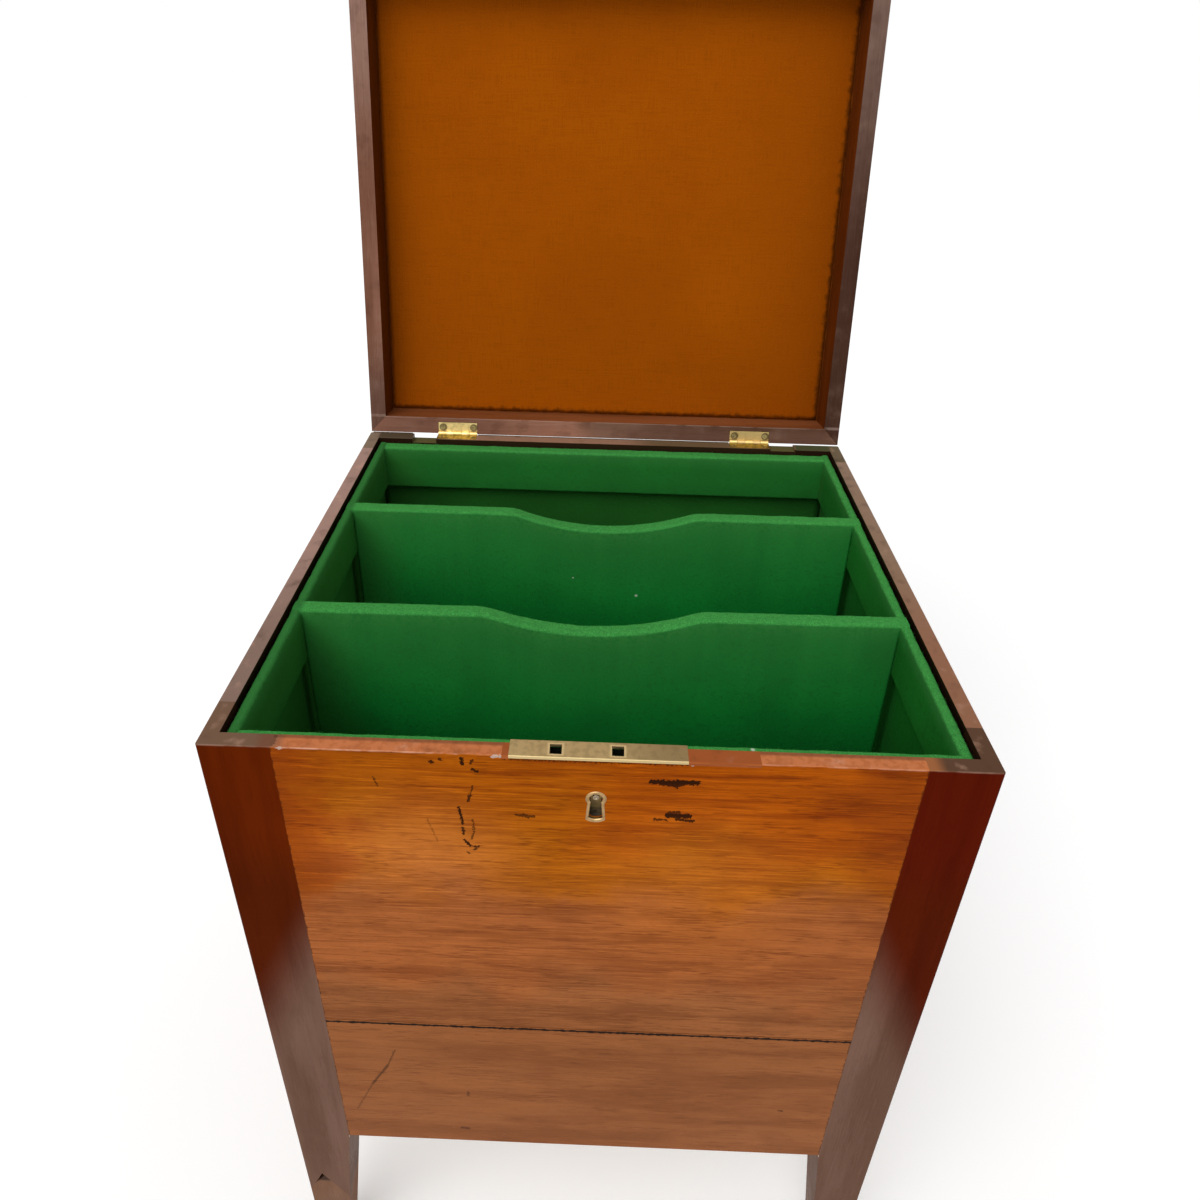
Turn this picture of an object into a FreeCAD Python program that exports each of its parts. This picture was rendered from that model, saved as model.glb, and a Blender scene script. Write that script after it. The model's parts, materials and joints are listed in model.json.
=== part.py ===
import FreeCAD, Part
import math
import os

from FreeCAD import Vector

# Cellarette: a lidded square box on four tapered legs, lined with baize and divided for bottles.
# Millimetres. +X right, +Y to the back, +Z up. Origin on the floor, at the centre of the four feet.
# The model stands with its lid open. "depth" below means distance back from the front face.

# Case and legs
case_width = 460.0
case_depth = 414.0
rim_height = 630.0
case_height = 424.0
front_wall = 10.0
side_wall = 10.5
back_wall = 12.0
stile_width = 43.0
stile_side = 35.0
foot_size = 22.0
corner_round = 1.8
arris_round = 0.8
foot_chamfer = 1.0

# Tongues and grooves between boards and posts
tongue_thick = 3.2
tongue_length = 5.0
tongue_stop = 12.0
tongue_play = 0.1
board_joint_drop = 265.0
board_joint_gap = 0.8

# Spliced foot of the front left leg: a V cut, given from the outer side face and down from the case
splice_peak_in = 13.1
splice_peak_below = 64.0
splice_outer_slope = 2.26
splice_inner_slope = 1.88
splice_open_width = 1.7
splice_open_length = 19.0

# Floor of the case
bottom_thick = 10.0
bearer_width = 16.0
bearer_height = 14.0
board_play = 0.5
block_height = 16.0
floor_screw_spread = 110.0
floor_screw_bite = 6.0

# Baize covered linings glued to the walls below the insert
lining_thick = 1.5
lining_gap = 0.5

# Drop-in insert: a shallow frame of boards with two full height dividers halved into its sides
insert_drop = 2.5
insert_band = 44.5
insert_side_gap = 2.2
insert_front_gap = 0.5
insert_back_gap = 2.5
insert_board = 7.0
insert_back_board = 12.0
divider_thick = 12.5
divider_offset = 69.0
divider_skew_front = 0.6
divider_skew_rear = 0.0
divider_round = 2.2
insert_round = 1.6
halving_play = 0.2
dip_half_width = 83.0
dip_depth = 15.0
dip_shoulder_radius = 35.0
dip_shift_front = -5.0
dip_shift_rear = 2.0

# Box lock let into the front board
selvedge_length = 102.4
selvedge_shift = 0.5
selvedge_width = 12.6
selvedge_thick = 2.0
selvedge_round = 0.35
main_plate_margin = 7.0
main_plate_drop = 56.0
main_plate_thick = 1.2
pocket_drop = 50.0
pocket_skin = 2.0
pocket_play = 0.2
cap_wall = 0.8
staple_hole_x = (-24.0, 11.7)
staple_hole_width = 7.0
staple_hole_depth = 7.4
staple_notch_play = 1.0
lock_screw_inset = 3.5
lock_screw_drops = (12.0, 43.0)
lock_screw_length = 6.5

# Sliding bolt: a bar with two hooks that pass through the staples
bolt_travel = 6.0
bolt_thick = 2.4
bolt_centre = 6.3
bolt_bar_top = 14.5
bolt_bar_bottom = 23.0
bolt_bar_right = 24.0
bolt_end_play = 1.4
hook_top = 4.6
hook_bottom = 8.6
hook_riser = 3.0
hook_seat_play = 0.4
hook_start_play = 0.6
stud_radius = 1.5
stud_proud = 0.6
stud_x = (-14.0, 16.0)
slot_play = 0.1
travel_play = 0.3
talon_radius = 4.0
spring_thick = 0.5
spring_length = 18.0
spring_riser_play = 1.1
spring_play = 0.5
drill_pin_radius = 2.0
drill_pin_tip = 0.7
drill_pin_chamfer = 0.3
drill_pin_dimple = 1.1

# Link plate on the lid
staple_width = 5.4
staple_thick = 2.4
staple_drop = 12.0
eye_width = 3.0
eye_top = 3.5
eye_bottom = 9.5
link_screw_x = (-42.0, 43.0)
link_screw_length = 9.0
staple_round = 1.6

# Keyhole and its raised brass surround, drops measured from the rim
key_head_drop = 32.3
surround_head = 6.2
surround_waist = 5.0
surround_foot = 5.9
surround_foot_drop = 49.5
surround_sag = 2.2
keyhole_head = 3.9
keyhole_waist = 3.0
keyhole_foot = 4.1
keyhole_foot_drop = 47.6
keyhole_sag = 1.3
surround_let_in = 1.4
surround_proud = 0.5
surround_chamfer = 0.45

# Stop butt hinges
hinge_centres = (-144.0, 142.5)
hinge_length = 38.0
hinge_knuckles = 5
hinge_leaf_thick = 1.6
hinge_leaf_reach = 10.0
hinge_axis_back = 1.2
hinge_gap = 0.5
barrel_radius = 2.5
pin_radius = 1.2
pin_play = 0.06
knuckle_play = 0.25
barrel_play = 0.35
notch_play = 0.5
mortise_play = 0.3
hinge_screw_offset = 15.0
hinge_screw_reach = 5.2
hinge_screw_length = 9.0
lug_reach = 4.4
lug_span = 28.0
lug_root = 0.6
lug_overlap = 2.2
lug_case_angle = -45.0
lug_stop_angle = 5.0
open_angle = 100.0

# Old hinge mortises left in the top of the back board: from x, to x, depth
old_mortises = ((-186.8, -163.4, 4.5), (161.9, 185.5, 2.0))

# Countersunk wood screws
screw_head_radius = 2.4
screw_head_height = 1.1
screw_shank_radius = 1.1
screw_slot_width = 0.7
screw_slot_depth = 0.5
countersink_play = 0.05

# Filled repairs in the rim beside the lock: from x, to x
rim_patch_depth = 2.6
rim_patches = ((-54.6, -50.7), (51.7, 92.9))

# Lid: a mitred tray frame with a top panel and a cloth lining
lid_inset = 0.5
lid_rail_width = 14.5
lid_rail_height = 33.0
lid_panel_thick = 9.0
lid_panel_round = 2.5
lid_lining_thick = 1.2
lid_lining_play = 0.6

# Places worked out from the sizes above
half_width = case_width / 2
half_depth = case_depth / 2
case_bottom = rim_height - case_height
inner_x = half_width - side_wall
inner_front = front_wall - half_depth
inner_back = half_depth - back_wall
stile_x = half_width - stile_width
stile_y = half_depth - stile_side
bottom_z = case_bottom + block_height
lining_z = bottom_z + bottom_thick
floor_z = lining_z + lining_thick
insert_top = rim_height - insert_drop
insert_bottom = insert_top - insert_band
insert_x = inner_x - insert_side_gap
insert_inner_x = insert_x - insert_board
insert_front = inner_front + insert_front_gap
insert_back = inner_back - insert_back_gap
hinge_y = half_depth + hinge_axis_back
hinge_z = rim_height + hinge_gap / 2
lid_bottom = rim_height + hinge_gap
lid_panel_z = lid_bottom + lid_rail_height
lid_top = lid_panel_z + lid_panel_thick
lid_half_width = half_width - lid_inset
bolt_left = staple_hole_x[0] - staple_thick / 2 - hook_seat_play - bolt_travel - hook_riser
bolt_throw_right = bolt_bar_right + bolt_travel
pocket_left = bolt_left - bolt_end_play - cap_wall - pocket_play
pocket_right = bolt_throw_right + bolt_end_play + cap_wall + pocket_play
main_plate_left = pocket_left - main_plate_margin
main_plate_right = pocket_right + main_plate_margin
main_plate_front = front_wall - main_plate_thick
splice_peak_x = splice_peak_in - half_width
splice_peak_z = case_bottom - splice_peak_below
dividers_spec = (
    ("divider_front", -divider_offset, divider_skew_front, dip_shift_front),
    ("divider_rear", divider_offset, divider_skew_rear, dip_shift_rear),
)

# How far a cutting shape runs past the face that it cuts, and how close counts as the same place
PAST = 1.0
SAME = 1e-4


def box(x0, x1, y0, y1, z0, z1):
    return Part.makeBox(x1 - x0, y1 - y0, z1 - z0, Vector(x0, y0, z0))


def front_box(x0, x1, depth0, depth1, drop0, drop1):
    """A box given by its depth back from the front face and its drop below the rim."""
    return box(x0, x1, depth0 - half_depth, depth1 - half_depth, rim_height - drop1, rim_height - drop0)


def rod_x(x0, x1, y, z, radius):
    return Part.makeCylinder(radius, x1 - x0, Vector(x0, y, z), Vector(1, 0, 0))


def rod_y(x, y0, y1, z, radius):
    return Part.makeCylinder(radius, y1 - y0, Vector(x, y0, z), Vector(0, 1, 0))


def prism_z(points, z0, z1):
    corners = [Vector(x, y, z0) for x, y in points]
    face = Part.Face(Part.makePolygon(corners + corners[:1]))
    return face.extrude(Vector(0, 0, z1 - z0))


def prism_y(points, y0, y1):
    corners = [Vector(x, y0, z) for x, z in points]
    face = Part.Face(Part.makePolygon(corners + corners[:1]))
    return face.extrude(Vector(0, y1 - y0, 0))


def prism_x(points, x0, x1):
    corners = [Vector(x0, y, z) for y, z in points]
    face = Part.Face(Part.makePolygon(corners + corners[:1]))
    return face.extrude(Vector(x1 - x0, 0, 0))


def mirror_x(shape):
    return shape.mirror(Vector(0, 0, 0), Vector(1, 0, 0))


def mirror_y(shape):
    return shape.mirror(Vector(0, 0, 0), Vector(0, 1, 0))


def edges_where(shape, test, ends_test=None):
    """Edges whose ends and middle all pass the test, and whose pair of ends passes the other."""
    found = []
    for edge in shape.Edges:
        ends = [edge.Vertexes[0].Point, edge.Vertexes[-1].Point]
        middle = edge.valueAt((edge.FirstParameter + edge.LastParameter) / 2)
        if all(test(point) for point in ends + [middle]):
            if ends_test is None or ends_test(*ends):
                found.append(edge)
    return found


def rounded(shape, radius, test):
    return shape.makeFillet(radius, edges_where(shape, test))


def level_edges(shape, z, axis):
    """Straight edges at height z that run along one axis: 0 for X, 1 for Y."""
    across = 1 - axis
    return edges_where(shape, lambda p: near(p.z, z), lambda a, b: near(a[across], b[across]))


def near(a, b, reach=SAME):
    return abs(a - b) <= reach


def screw(length):
    """A countersunk slotted wood screw, head up at the origin, pointing down -Z."""
    head_low = Vector(0, 0, -screw_head_height)
    head = Part.makeCone(screw_shank_radius, screw_head_radius, screw_head_height, head_low)
    shank = Part.makeCylinder(screw_shank_radius, length, Vector(0, 0, -length))
    half = screw_slot_width / 2
    slot = box(-half, half, -screw_head_radius, screw_head_radius, -screw_slot_depth, 0)
    return head.fuse(shank).removeSplitter().cut(slot)


def countersink(length):
    """The space that a screw fills, with a little play round the head."""
    outer = screw_head_radius + countersink_play
    inner = screw_shank_radius + countersink_play
    cone = Part.makeCone(inner, outer, screw_head_height, Vector(0, 0, -screw_head_height))
    hole = Part.makeCylinder(inner, length, Vector(0, 0, -length))
    return cone.fuse(hole)


def placed(shape, position, turn_axis=None, degrees=0.0):
    copy = shape.copy()
    if turn_axis:
        copy.rotate(Vector(0, 0, 0), turn_axis, degrees)
    copy.translate(position)
    return copy


# ---------------------------------------------------------------- legs

def leg_outline(arm_wall):
    """L-shaped section of a corner post: the front or back arm, and the thinner side arm."""
    return [
        (-half_width, -half_depth),
        (-stile_x, -half_depth),
        (-stile_x, arm_wall - half_depth),
        (-inner_x, arm_wall - half_depth),
        (-inner_x, -stile_y),
        (-half_width, -stile_y),
    ]


def tapered_leg():
    """The leg below the case: a square blank with a wedge sawn off each of its two inner faces."""
    blank = box(-half_width, -stile_x, -half_depth, -stile_y, 0, case_bottom)
    foot_x = foot_size - half_width
    foot_y = foot_size - half_depth
    outer_x = PAST - stile_x
    outer_y = PAST - stile_y
    drop = -PAST
    lean_x = (stile_width - foot_size) / case_bottom
    lean_y = (stile_side - foot_size) / case_bottom
    side_wedge = prism_y(
        [(-stile_x, case_bottom), (foot_x - lean_x, drop), (outer_x, drop), (outer_x, case_bottom)],
        -half_depth - PAST,
        outer_y,
    )
    rear_wedge = prism_x(
        [(-stile_y, case_bottom), (foot_y - lean_y, drop), (outer_y, drop), (outer_y, case_bottom)],
        -half_width - PAST,
        outer_x,
    )
    return blank.cut([side_wedge, rear_wedge])


def leg_grooves(arm_wall):
    """Stopped grooves in the ends of both arms for the tongues of the boards."""
    reach = tongue_length + tongue_play
    half = tongue_thick / 2 + tongue_play
    top = rim_height - tongue_stop + tongue_play
    arm_y = arm_wall / 2 - half_depth
    side_x = side_wall / 2 - half_width
    front_groove = box(-stile_x - reach, PAST - stile_x, arm_y - half, arm_y + half, case_bottom, top)
    side_groove = box(side_x - half, side_x + half, -stile_y - reach, PAST - stile_y, case_bottom, top)
    return front_groove.fuse(side_groove)


def leg(arm_wall):
    """The front left post and leg in one piece; the others are mirrored from it."""
    post = prism_z(leg_outline(arm_wall), case_bottom, rim_height)
    solid = post.fuse(tapered_leg()).removeSplitter()
    solid = rounded(solid, corner_round, lambda p: near(p.x, -half_width) and near(p.y, -half_depth))
    reach = corner_round + SAME

    def outer_top(p):
        outer = near(p.x, -half_width, reach) or near(p.y, -half_depth, reach)
        return near(p.z, rim_height) and outer

    solid = rounded(solid, arris_round, outer_top)
    solid = solid.makeChamfer(foot_chamfer, edges_where(solid, lambda p: near(p.z, 0)))
    return solid.cut(leg_grooves(arm_wall))


def splice_prism():
    """Everything below the V splice of the front left leg."""
    outer = half_width + PAST
    inner = half_width - 2 * foot_size
    outline = [
        (splice_peak_x, splice_peak_z),
        (-outer, splice_peak_z - (splice_peak_x + outer) * splice_outer_slope),
        (-outer, -PAST),
        (-inner, -PAST),
        (-inner, splice_peak_z + (splice_peak_x + inner) * splice_inner_slope),
    ]
    return prism_y(outline, -half_depth - PAST, PAST - stile_y)


def splice_opening():
    """The wedge where the old splice has opened beside its peak."""
    slope = math.atan(splice_outer_slope)
    limb_x = splice_peak_x - splice_open_length * math.cos(slope)
    limb_z = splice_peak_z - splice_open_length * math.sin(slope)
    outline = [
        (splice_peak_x, splice_peak_z),
        (splice_peak_x + splice_open_width, splice_peak_z - splice_open_width * splice_inner_slope),
        (limb_x, limb_z),
    ]
    return prism_y(outline, -half_depth - PAST, PAST - stile_y)


def legs():
    front_leg = leg(front_wall)
    back_leg = leg(back_wall)
    below = splice_prism()
    return {
        "leg_front_left": front_leg.cut(below),
        "leg_front_left_tip": front_leg.common(below).cut(splice_opening()),
        "leg_front_right": mirror_x(front_leg),
        "leg_back_left": mirror_y(back_leg),
        "leg_back_right": mirror_x(mirror_y(back_leg)),
    }


# ---------------------------------------------------------------- walls and floor of the case

def board_x(y0, y1, z0, z1, top_is_rim):
    """A board between two posts along X, with a tongue on each end."""
    solid = box(-stile_x, stile_x, y0, y1, z0, z1)
    if top_is_rim:
        outer = y0 if y0 < 0 else y1
        solid = rounded(solid, arris_round, lambda p: near(p.z, z1) and near(p.y, outer))
    middle = (y0 + y1) / 2
    tongue_top = z1 - tongue_stop if top_is_rim else z1
    reach = stile_x + tongue_length
    half = tongue_thick / 2
    tongue = box(-reach, reach, middle - half, middle + half, z0, tongue_top)
    return solid.fuse(tongue).removeSplitter()


def side_board():
    """The left wall between its two posts."""
    solid = box(-half_width, -inner_x, -stile_y, stile_y, case_bottom, rim_height)
    solid = rounded(solid, arris_round, lambda p: near(p.z, rim_height) and near(p.x, -half_width))
    middle = side_wall / 2 - half_width
    half = tongue_thick / 2
    reach = stile_y + tongue_length
    tongue = box(middle - half, middle + half, -reach, reach, case_bottom, rim_height - tongue_stop)
    return solid.fuse(tongue).removeSplitter()


def edge_tongue(play):
    """The tongue under the upper front board, or with play the groove for it."""
    middle = front_wall / 2
    half = tongue_thick / 2 + play
    reach = stile_x + play
    top = board_joint_drop - board_joint_gap / 2
    return front_box(-reach, reach, middle - half, middle + half, top, top + tongue_length + play)


def rim_patch_boxes():
    return [front_box(x0, x1, 0, front_wall, 0, rim_patch_depth) for x0, x1 in rim_patches]


def lock_pocket():
    """Seats of the selvedge and main plate, and the pocket for the lock's cap, open to the inside."""
    seat = front_box(selvedge_x(-1), selvedge_x(1), 0, front_wall, 0, selvedge_thick)
    left, right = main_plate_left, main_plate_right
    plate_seat = front_box(left, right, main_plate_front, front_wall, 0, main_plate_drop)
    pocket = front_box(pocket_left, pocket_right, pocket_skin, front_wall, 0, pocket_drop)
    return seat.fuse([plate_seat, pocket])


def front_boards():
    joint = rim_height - board_joint_drop
    half_gap = board_joint_gap / 2
    upper = board_x(-half_depth, inner_front, joint + half_gap, rim_height, True)
    upper = upper.fuse(edge_tongue(0)).removeSplitter()
    upper = upper.cut([lock_pocket(), keyhole_prism(0, front_wall), surround_seat()])
    upper = upper.cut(rim_patch_boxes() + at_lock_screws(countersink(lock_screw_length)))
    lower = board_x(-half_depth, inner_front, case_bottom, joint - half_gap, False)
    lower = lower.cut(edge_tongue(tongue_play))
    return {
        "front_upper_board": upper,
        "front_lower_board": lower,
        "rim_patches": Part.makeCompound(rim_patch_pieces()),
    }


def rim_patch_pieces():
    at_arris = lambda p: near(p.z, rim_height) and near(p.y, -half_depth)
    return [rounded(piece, arris_round, at_arris) for piece in rim_patch_boxes()]


def back_panel():
    solid = board_x(inner_back, half_depth, case_bottom, rim_height, True)
    for x0, x1, depth in old_mortises:
        notch = box(x0, x1, inner_back - PAST, half_depth + PAST, rim_height - depth, rim_height + PAST)
        solid = solid.cut(notch)
    return solid.cut([hinge_seat(centre, -1) for centre in hinge_centres])


def case_walls():
    left = side_board()
    return {
        "side_board_left": left,
        "side_board_right": mirror_x(left),
        "back_board": back_panel(),
    }


def floor_supports():
    """Blocks on the shoulders of the legs and bearers between them, under the bottom board."""
    block_x = inner_x - stile_x
    bearer_x = inner_x - bearer_width
    z0 = bottom_z - bearer_height
    blocks = []
    for x0 in (-inner_x, stile_x):
        blocks.append(box(x0, x0 + block_x, inner_front, -stile_y, case_bottom, bottom_z))
        blocks.append(box(x0, x0 + block_x, stile_y, inner_back, case_bottom, bottom_z))
    side_bearer = box(-inner_x, -bearer_x, -stile_y, stile_y, z0, bottom_z)
    return {
        "corner_blocks": Part.makeCompound(blocks),
        "bearer_front": box(-stile_x, stile_x, inner_front, inner_front + bearer_width, z0, bottom_z),
        "bearer_back": box(-stile_x, stile_x, inner_back - bearer_width, inner_back, z0, bottom_z),
        "bearer_left": side_bearer,
        "bearer_right": mirror_x(side_bearer),
    }


def floor_screw_spots():
    """Where each bearer is screwed up to the bottom board."""
    side_x = inner_x - bearer_width / 2
    front_y = inner_front + bearer_width / 2
    back_y = inner_back - bearer_width / 2
    return {
        "bearer_front": [(0, front_y)],
        "bearer_back": [(0, back_y)],
        "bearer_left": [(-side_x, -floor_screw_spread), (-side_x, floor_screw_spread)],
        "bearer_right": [(side_x, -floor_screw_spread), (side_x, floor_screw_spread)],
    }


def at_floor_screws(shape, spots):
    """Copies of a screw or its hole, head down, under the bearers."""
    z = bottom_z - bearer_height
    return [placed(shape, Vector(x, y, z), Vector(1, 0, 0), 180) for x, y in spots]


def case_floor():
    """The bottom board on its bearers and corner blocks, with the screws that hold it."""
    length = bearer_height + floor_screw_bite
    nodes = floor_supports()
    spots = floor_screw_spots()
    every_spot = [spot for row in spots.values() for spot in row]
    for bearer, row in spots.items():
        nodes[bearer] = nodes[bearer].cut(at_floor_screws(countersink(length), row))
    board = box(
        board_play - inner_x,
        inner_x - board_play,
        inner_front + board_play,
        inner_back - board_play,
        bottom_z,
        bottom_z + bottom_thick,
    )
    nodes["bottom_board"] = board.cut(at_floor_screws(countersink(length), every_spot))
    nodes["floor_screws"] = Part.makeCompound(at_floor_screws(screw(length), every_spot))
    return nodes


# ---------------------------------------------------------------- linings and insert

def linings():
    """Thin baize covered boards on the four walls below the insert, and on the floor."""
    top = insert_bottom - lining_gap
    side = box(-inner_x, lining_thick - inner_x, inner_front, inner_back, floor_z, top)
    reach = inner_x - lining_thick
    return {
        "lining_floor": box(-inner_x, inner_x, inner_front, inner_back, lining_z, floor_z),
        "lining_left": side,
        "lining_right": mirror_x(side),
        "lining_front": box(-reach, reach, inner_front, inner_front + lining_thick, floor_z, top),
        "lining_back": box(-reach, reach, inner_back - lining_thick, inner_back, floor_z, top),
    }


def turned_divider(shape, y, skew):
    """A shape made about Y = 0, turned by the divider's skew and moved to its place."""
    return placed(shape, Vector(0, y, 0), Vector(0, 0, 1), skew)


def insert_side(side):
    """Left (-1) or right (1) board of the insert, slotted from above for the two dividers."""
    low, high = sorted((side * insert_x, side * insert_inner_x))
    solid = box(low, high, insert_front, insert_back, insert_bottom, insert_top)
    solid = solid.makeFillet(insert_round, level_edges(solid, insert_top, 1))
    half = divider_thick / 2 + halving_play
    middle = (insert_top + insert_bottom) / 2
    slot = box(low - PAST, high + PAST, -half, half, middle, insert_top + PAST)
    return solid.cut([turned_divider(slot, y, skew) for _, y, skew, _ in dividers_spec])


def insert_cross_board(y0, y1):
    solid = box(-insert_inner_x, insert_inner_x, y0, y1, insert_bottom, insert_top)
    return solid.makeFillet(insert_round, level_edges(solid, insert_top, 0))


def dip_arcs(shift):
    """Three points on each arc of the dip in a divider's top: two shoulders and a long hollow."""
    tilt = 2 * math.atan(dip_depth / dip_half_width)
    centre_radius = dip_half_width / math.sin(tilt) - dip_shoulder_radius
    joint_x = centre_radius * math.sin(tilt)
    low = insert_top - dip_depth
    joint_z = low + centre_radius * (1 - math.cos(tilt))
    shoulder_x = dip_half_width - dip_shoulder_radius * math.sin(tilt / 2)
    shoulder_z = insert_top - dip_shoulder_radius * (1 - math.cos(tilt / 2))
    return [
        ((shift - dip_half_width, insert_top), (shift - shoulder_x, shoulder_z), (shift - joint_x, joint_z)),
        ((shift - joint_x, joint_z), (shift, low), (shift + joint_x, joint_z)),
        ((shift + joint_x, joint_z), (shift + shoulder_x, shoulder_z), (shift + dip_half_width, insert_top)),
    ]


def divider(y, skew, shift):
    """A full height divider with a dipped top; it hangs by its ears in the slots of the insert's sides."""
    half_thick = divider_thick / 2
    point = lambda x, z: Vector(x, -half_thick, z)
    edges = []
    for arc in dip_arcs(shift):
        edges.append(Part.Arc(*[point(x, z) for x, z in arc]).toShape())
    corners = [
        point(dip_half_width + shift, insert_top),
        point(insert_x, insert_top),
        point(insert_x, floor_z),
        point(-insert_x, floor_z),
        point(-insert_x, insert_top),
        point(shift - dip_half_width, insert_top),
    ]
    for start, end in zip(corners, corners[1:]):
        edges.append(Part.LineSegment(start, end).toShape())
    face = Part.Face(Part.Wire(Part.__sortEdges__(edges)))
    solid = face.extrude(Vector(0, divider_thick, 0))
    dip_low = insert_top - dip_depth - SAME
    top = edges_where(solid, lambda p: p.z > dip_low, lambda a, b: near(a.y, b.y))
    solid = solid.makeFillet(divider_round, top)
    middle = (insert_top + insert_bottom) / 2
    inner = insert_inner_x - halving_play
    outer = insert_x + PAST
    for low, high in ((-outer, -inner), (inner, outer)):
        below_ear = box(low, high, -divider_thick, divider_thick, floor_z - PAST, middle)
        solid = solid.cut(below_ear)
    return turned_divider(solid, y, skew)


def insert():
    nodes = {
        "insert_left": insert_side(-1),
        "insert_right": insert_side(1),
        "insert_front": insert_cross_board(insert_front, insert_front + insert_board),
        "insert_back": insert_cross_board(insert_back - insert_back_board, insert_back),
    }
    for name, y, skew, shift in dividers_spec:
        nodes[name] = divider(y, skew, shift)
    return nodes


# ---------------------------------------------------------------- lock

def selvedge_x(side):
    return selvedge_shift + side * selvedge_length / 2


def at_lock_screws(shape):
    """Copies of a screw or its hole at the corners of the main plate, pointing to the front."""
    copies = []
    for x in (main_plate_left + lock_screw_inset, main_plate_right - lock_screw_inset):
        for drop in lock_screw_drops:
            spot = Vector(x, inner_front, rim_height - drop)
            copies.append(placed(shape, spot, Vector(1, 0, 0), -90))
    return copies


def keyhole_wire(head, waist, foot, foot_drop, sag, y):
    """Round head over a flared foot with a curved end, in the plane at y."""
    head_z = rim_height - key_head_drop
    waist_z = head_z - math.sqrt(head**2 - waist**2)
    foot_z = rim_height - foot_drop
    point = lambda x, z: Vector(x, y, z)
    edges = [
        Part.Arc(point(-waist, waist_z), point(0, head_z + head), point(waist, waist_z)).toShape(),
        Part.LineSegment(point(waist, waist_z), point(foot, foot_z)).toShape(),
        Part.Arc(point(foot, foot_z), point(0, foot_z - sag), point(-foot, foot_z)).toShape(),
        Part.LineSegment(point(-foot, foot_z), point(-waist, waist_z)).toShape(),
    ]
    return Part.Wire(Part.__sortEdges__(edges))


def keyhole_prism(depth0, depth1):
    y0 = depth0 - half_depth
    wire = keyhole_wire(keyhole_head, keyhole_waist, keyhole_foot, keyhole_foot_drop, keyhole_sag, y0)
    return Part.Face(wire).extrude(Vector(0, depth1 - depth0, 0))


def surround_prism(depth0, depth1):
    y0 = depth0 - half_depth
    wire = keyhole_wire(surround_head, surround_waist, surround_foot, surround_foot_drop, surround_sag, y0)
    return Part.Face(wire).extrude(Vector(0, depth1 - depth0, 0))


def surround_seat():
    return surround_prism(0, surround_let_in)


def keyhole_surround():
    ring = surround_prism(-surround_proud, surround_let_in).cut(keyhole_prism(-surround_proud, front_wall))
    front_plane = -half_depth - surround_proud
    return ring.makeChamfer(surround_chamfer, edges_where(ring, lambda p: near(p.y, front_plane)))


def lock_plate():
    """Selvedge in the rim and main plate flush with the inside of the board, in one piece."""
    selvedge = front_box(selvedge_x(-1), selvedge_x(1), 0, selvedge_width, 0, selvedge_thick)
    selvedge = rounded(selvedge, selvedge_round, lambda p: near(p.z, rim_height) and near(p.y, -half_depth))
    low = main_plate_drop
    plate = front_box(main_plate_left, main_plate_right, main_plate_front, front_wall, selvedge_thick, low)
    solid = selvedge.fuse(plate).removeSplitter()
    half = staple_hole_width / 2
    notch_drop = staple_drop + staple_notch_play
    front = bolt_centre - staple_hole_depth / 2
    back = bolt_centre + staple_hole_depth / 2
    for x in staple_hole_x:
        left, right = x - half, x + half
        hole = front_box(left, right, front, back, 0, selvedge_thick)
        notch = front_box(left, right, front, front_wall, selvedge_thick, notch_drop)
        solid = solid.cut([hole, notch])
    return solid.cut(at_lock_screws(countersink(lock_screw_length)))


def lock_cap():
    """Tray in the pocket, in front of the works: front, ends and bottom, open at the top."""
    left = pocket_left + pocket_play
    right = pocket_right - pocket_play
    front = pocket_skin + pocket_play
    bottom = pocket_drop - pocket_play
    back = main_plate_front
    tray = front_box(left, right, front, back, selvedge_thick, bottom)
    room = front_box(left + cap_wall, right - cap_wall, front + cap_wall, back, 0, bottom - cap_wall)
    return tray.cut([room, keyhole_prism(0, front_wall)])


def drill_pin():
    z = rim_height - key_head_drop
    tip_y = drill_pin_tip - half_depth
    pin = rod_y(0, tip_y, main_plate_front - half_depth, z, drill_pin_radius)
    pin = pin.makeChamfer(drill_pin_chamfer, edges_where(pin, lambda p: near(p.y, tip_y)))
    dimple = Part.makeCone(drill_pin_dimple, 0, drill_pin_dimple, Vector(0, tip_y, z), Vector(0, 1, 0))
    return pin.cut(dimple)


def guide_studs():
    z = rim_height - (bolt_bar_top + bolt_bar_bottom) / 2
    y0 = bolt_centre - bolt_thick / 2 - stud_proud - half_depth
    y1 = main_plate_front - half_depth
    return Part.makeCompound([rod_y(x, y0, y1, z, stud_radius) for x in stud_x])


def bolt_slot(x):
    """Slot round a guide stud, long enough for the throw."""
    radius = stud_radius + slot_play
    z = rim_height - (bolt_bar_top + bolt_bar_bottom) / 2
    y0 = bolt_centre - bolt_thick - half_depth
    y1 = bolt_centre + bolt_thick - half_depth
    left = x - bolt_travel - travel_play
    right = x + travel_play
    middle = box(left, right, y0, y1, z - radius, z + radius)
    return middle.fuse([rod_y(left, y0, y1, z, radius), rod_y(right, y0, y1, z, radius)])


def hook_place(staple_x):
    """Left and right ends of a hook's riser, and the end of its prong, with the bolt drawn back."""
    staple_left = staple_x - staple_thick / 2
    riser_right = staple_left - hook_seat_play - bolt_travel
    return riser_right - hook_riser, riser_right, staple_left - hook_start_play


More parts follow.
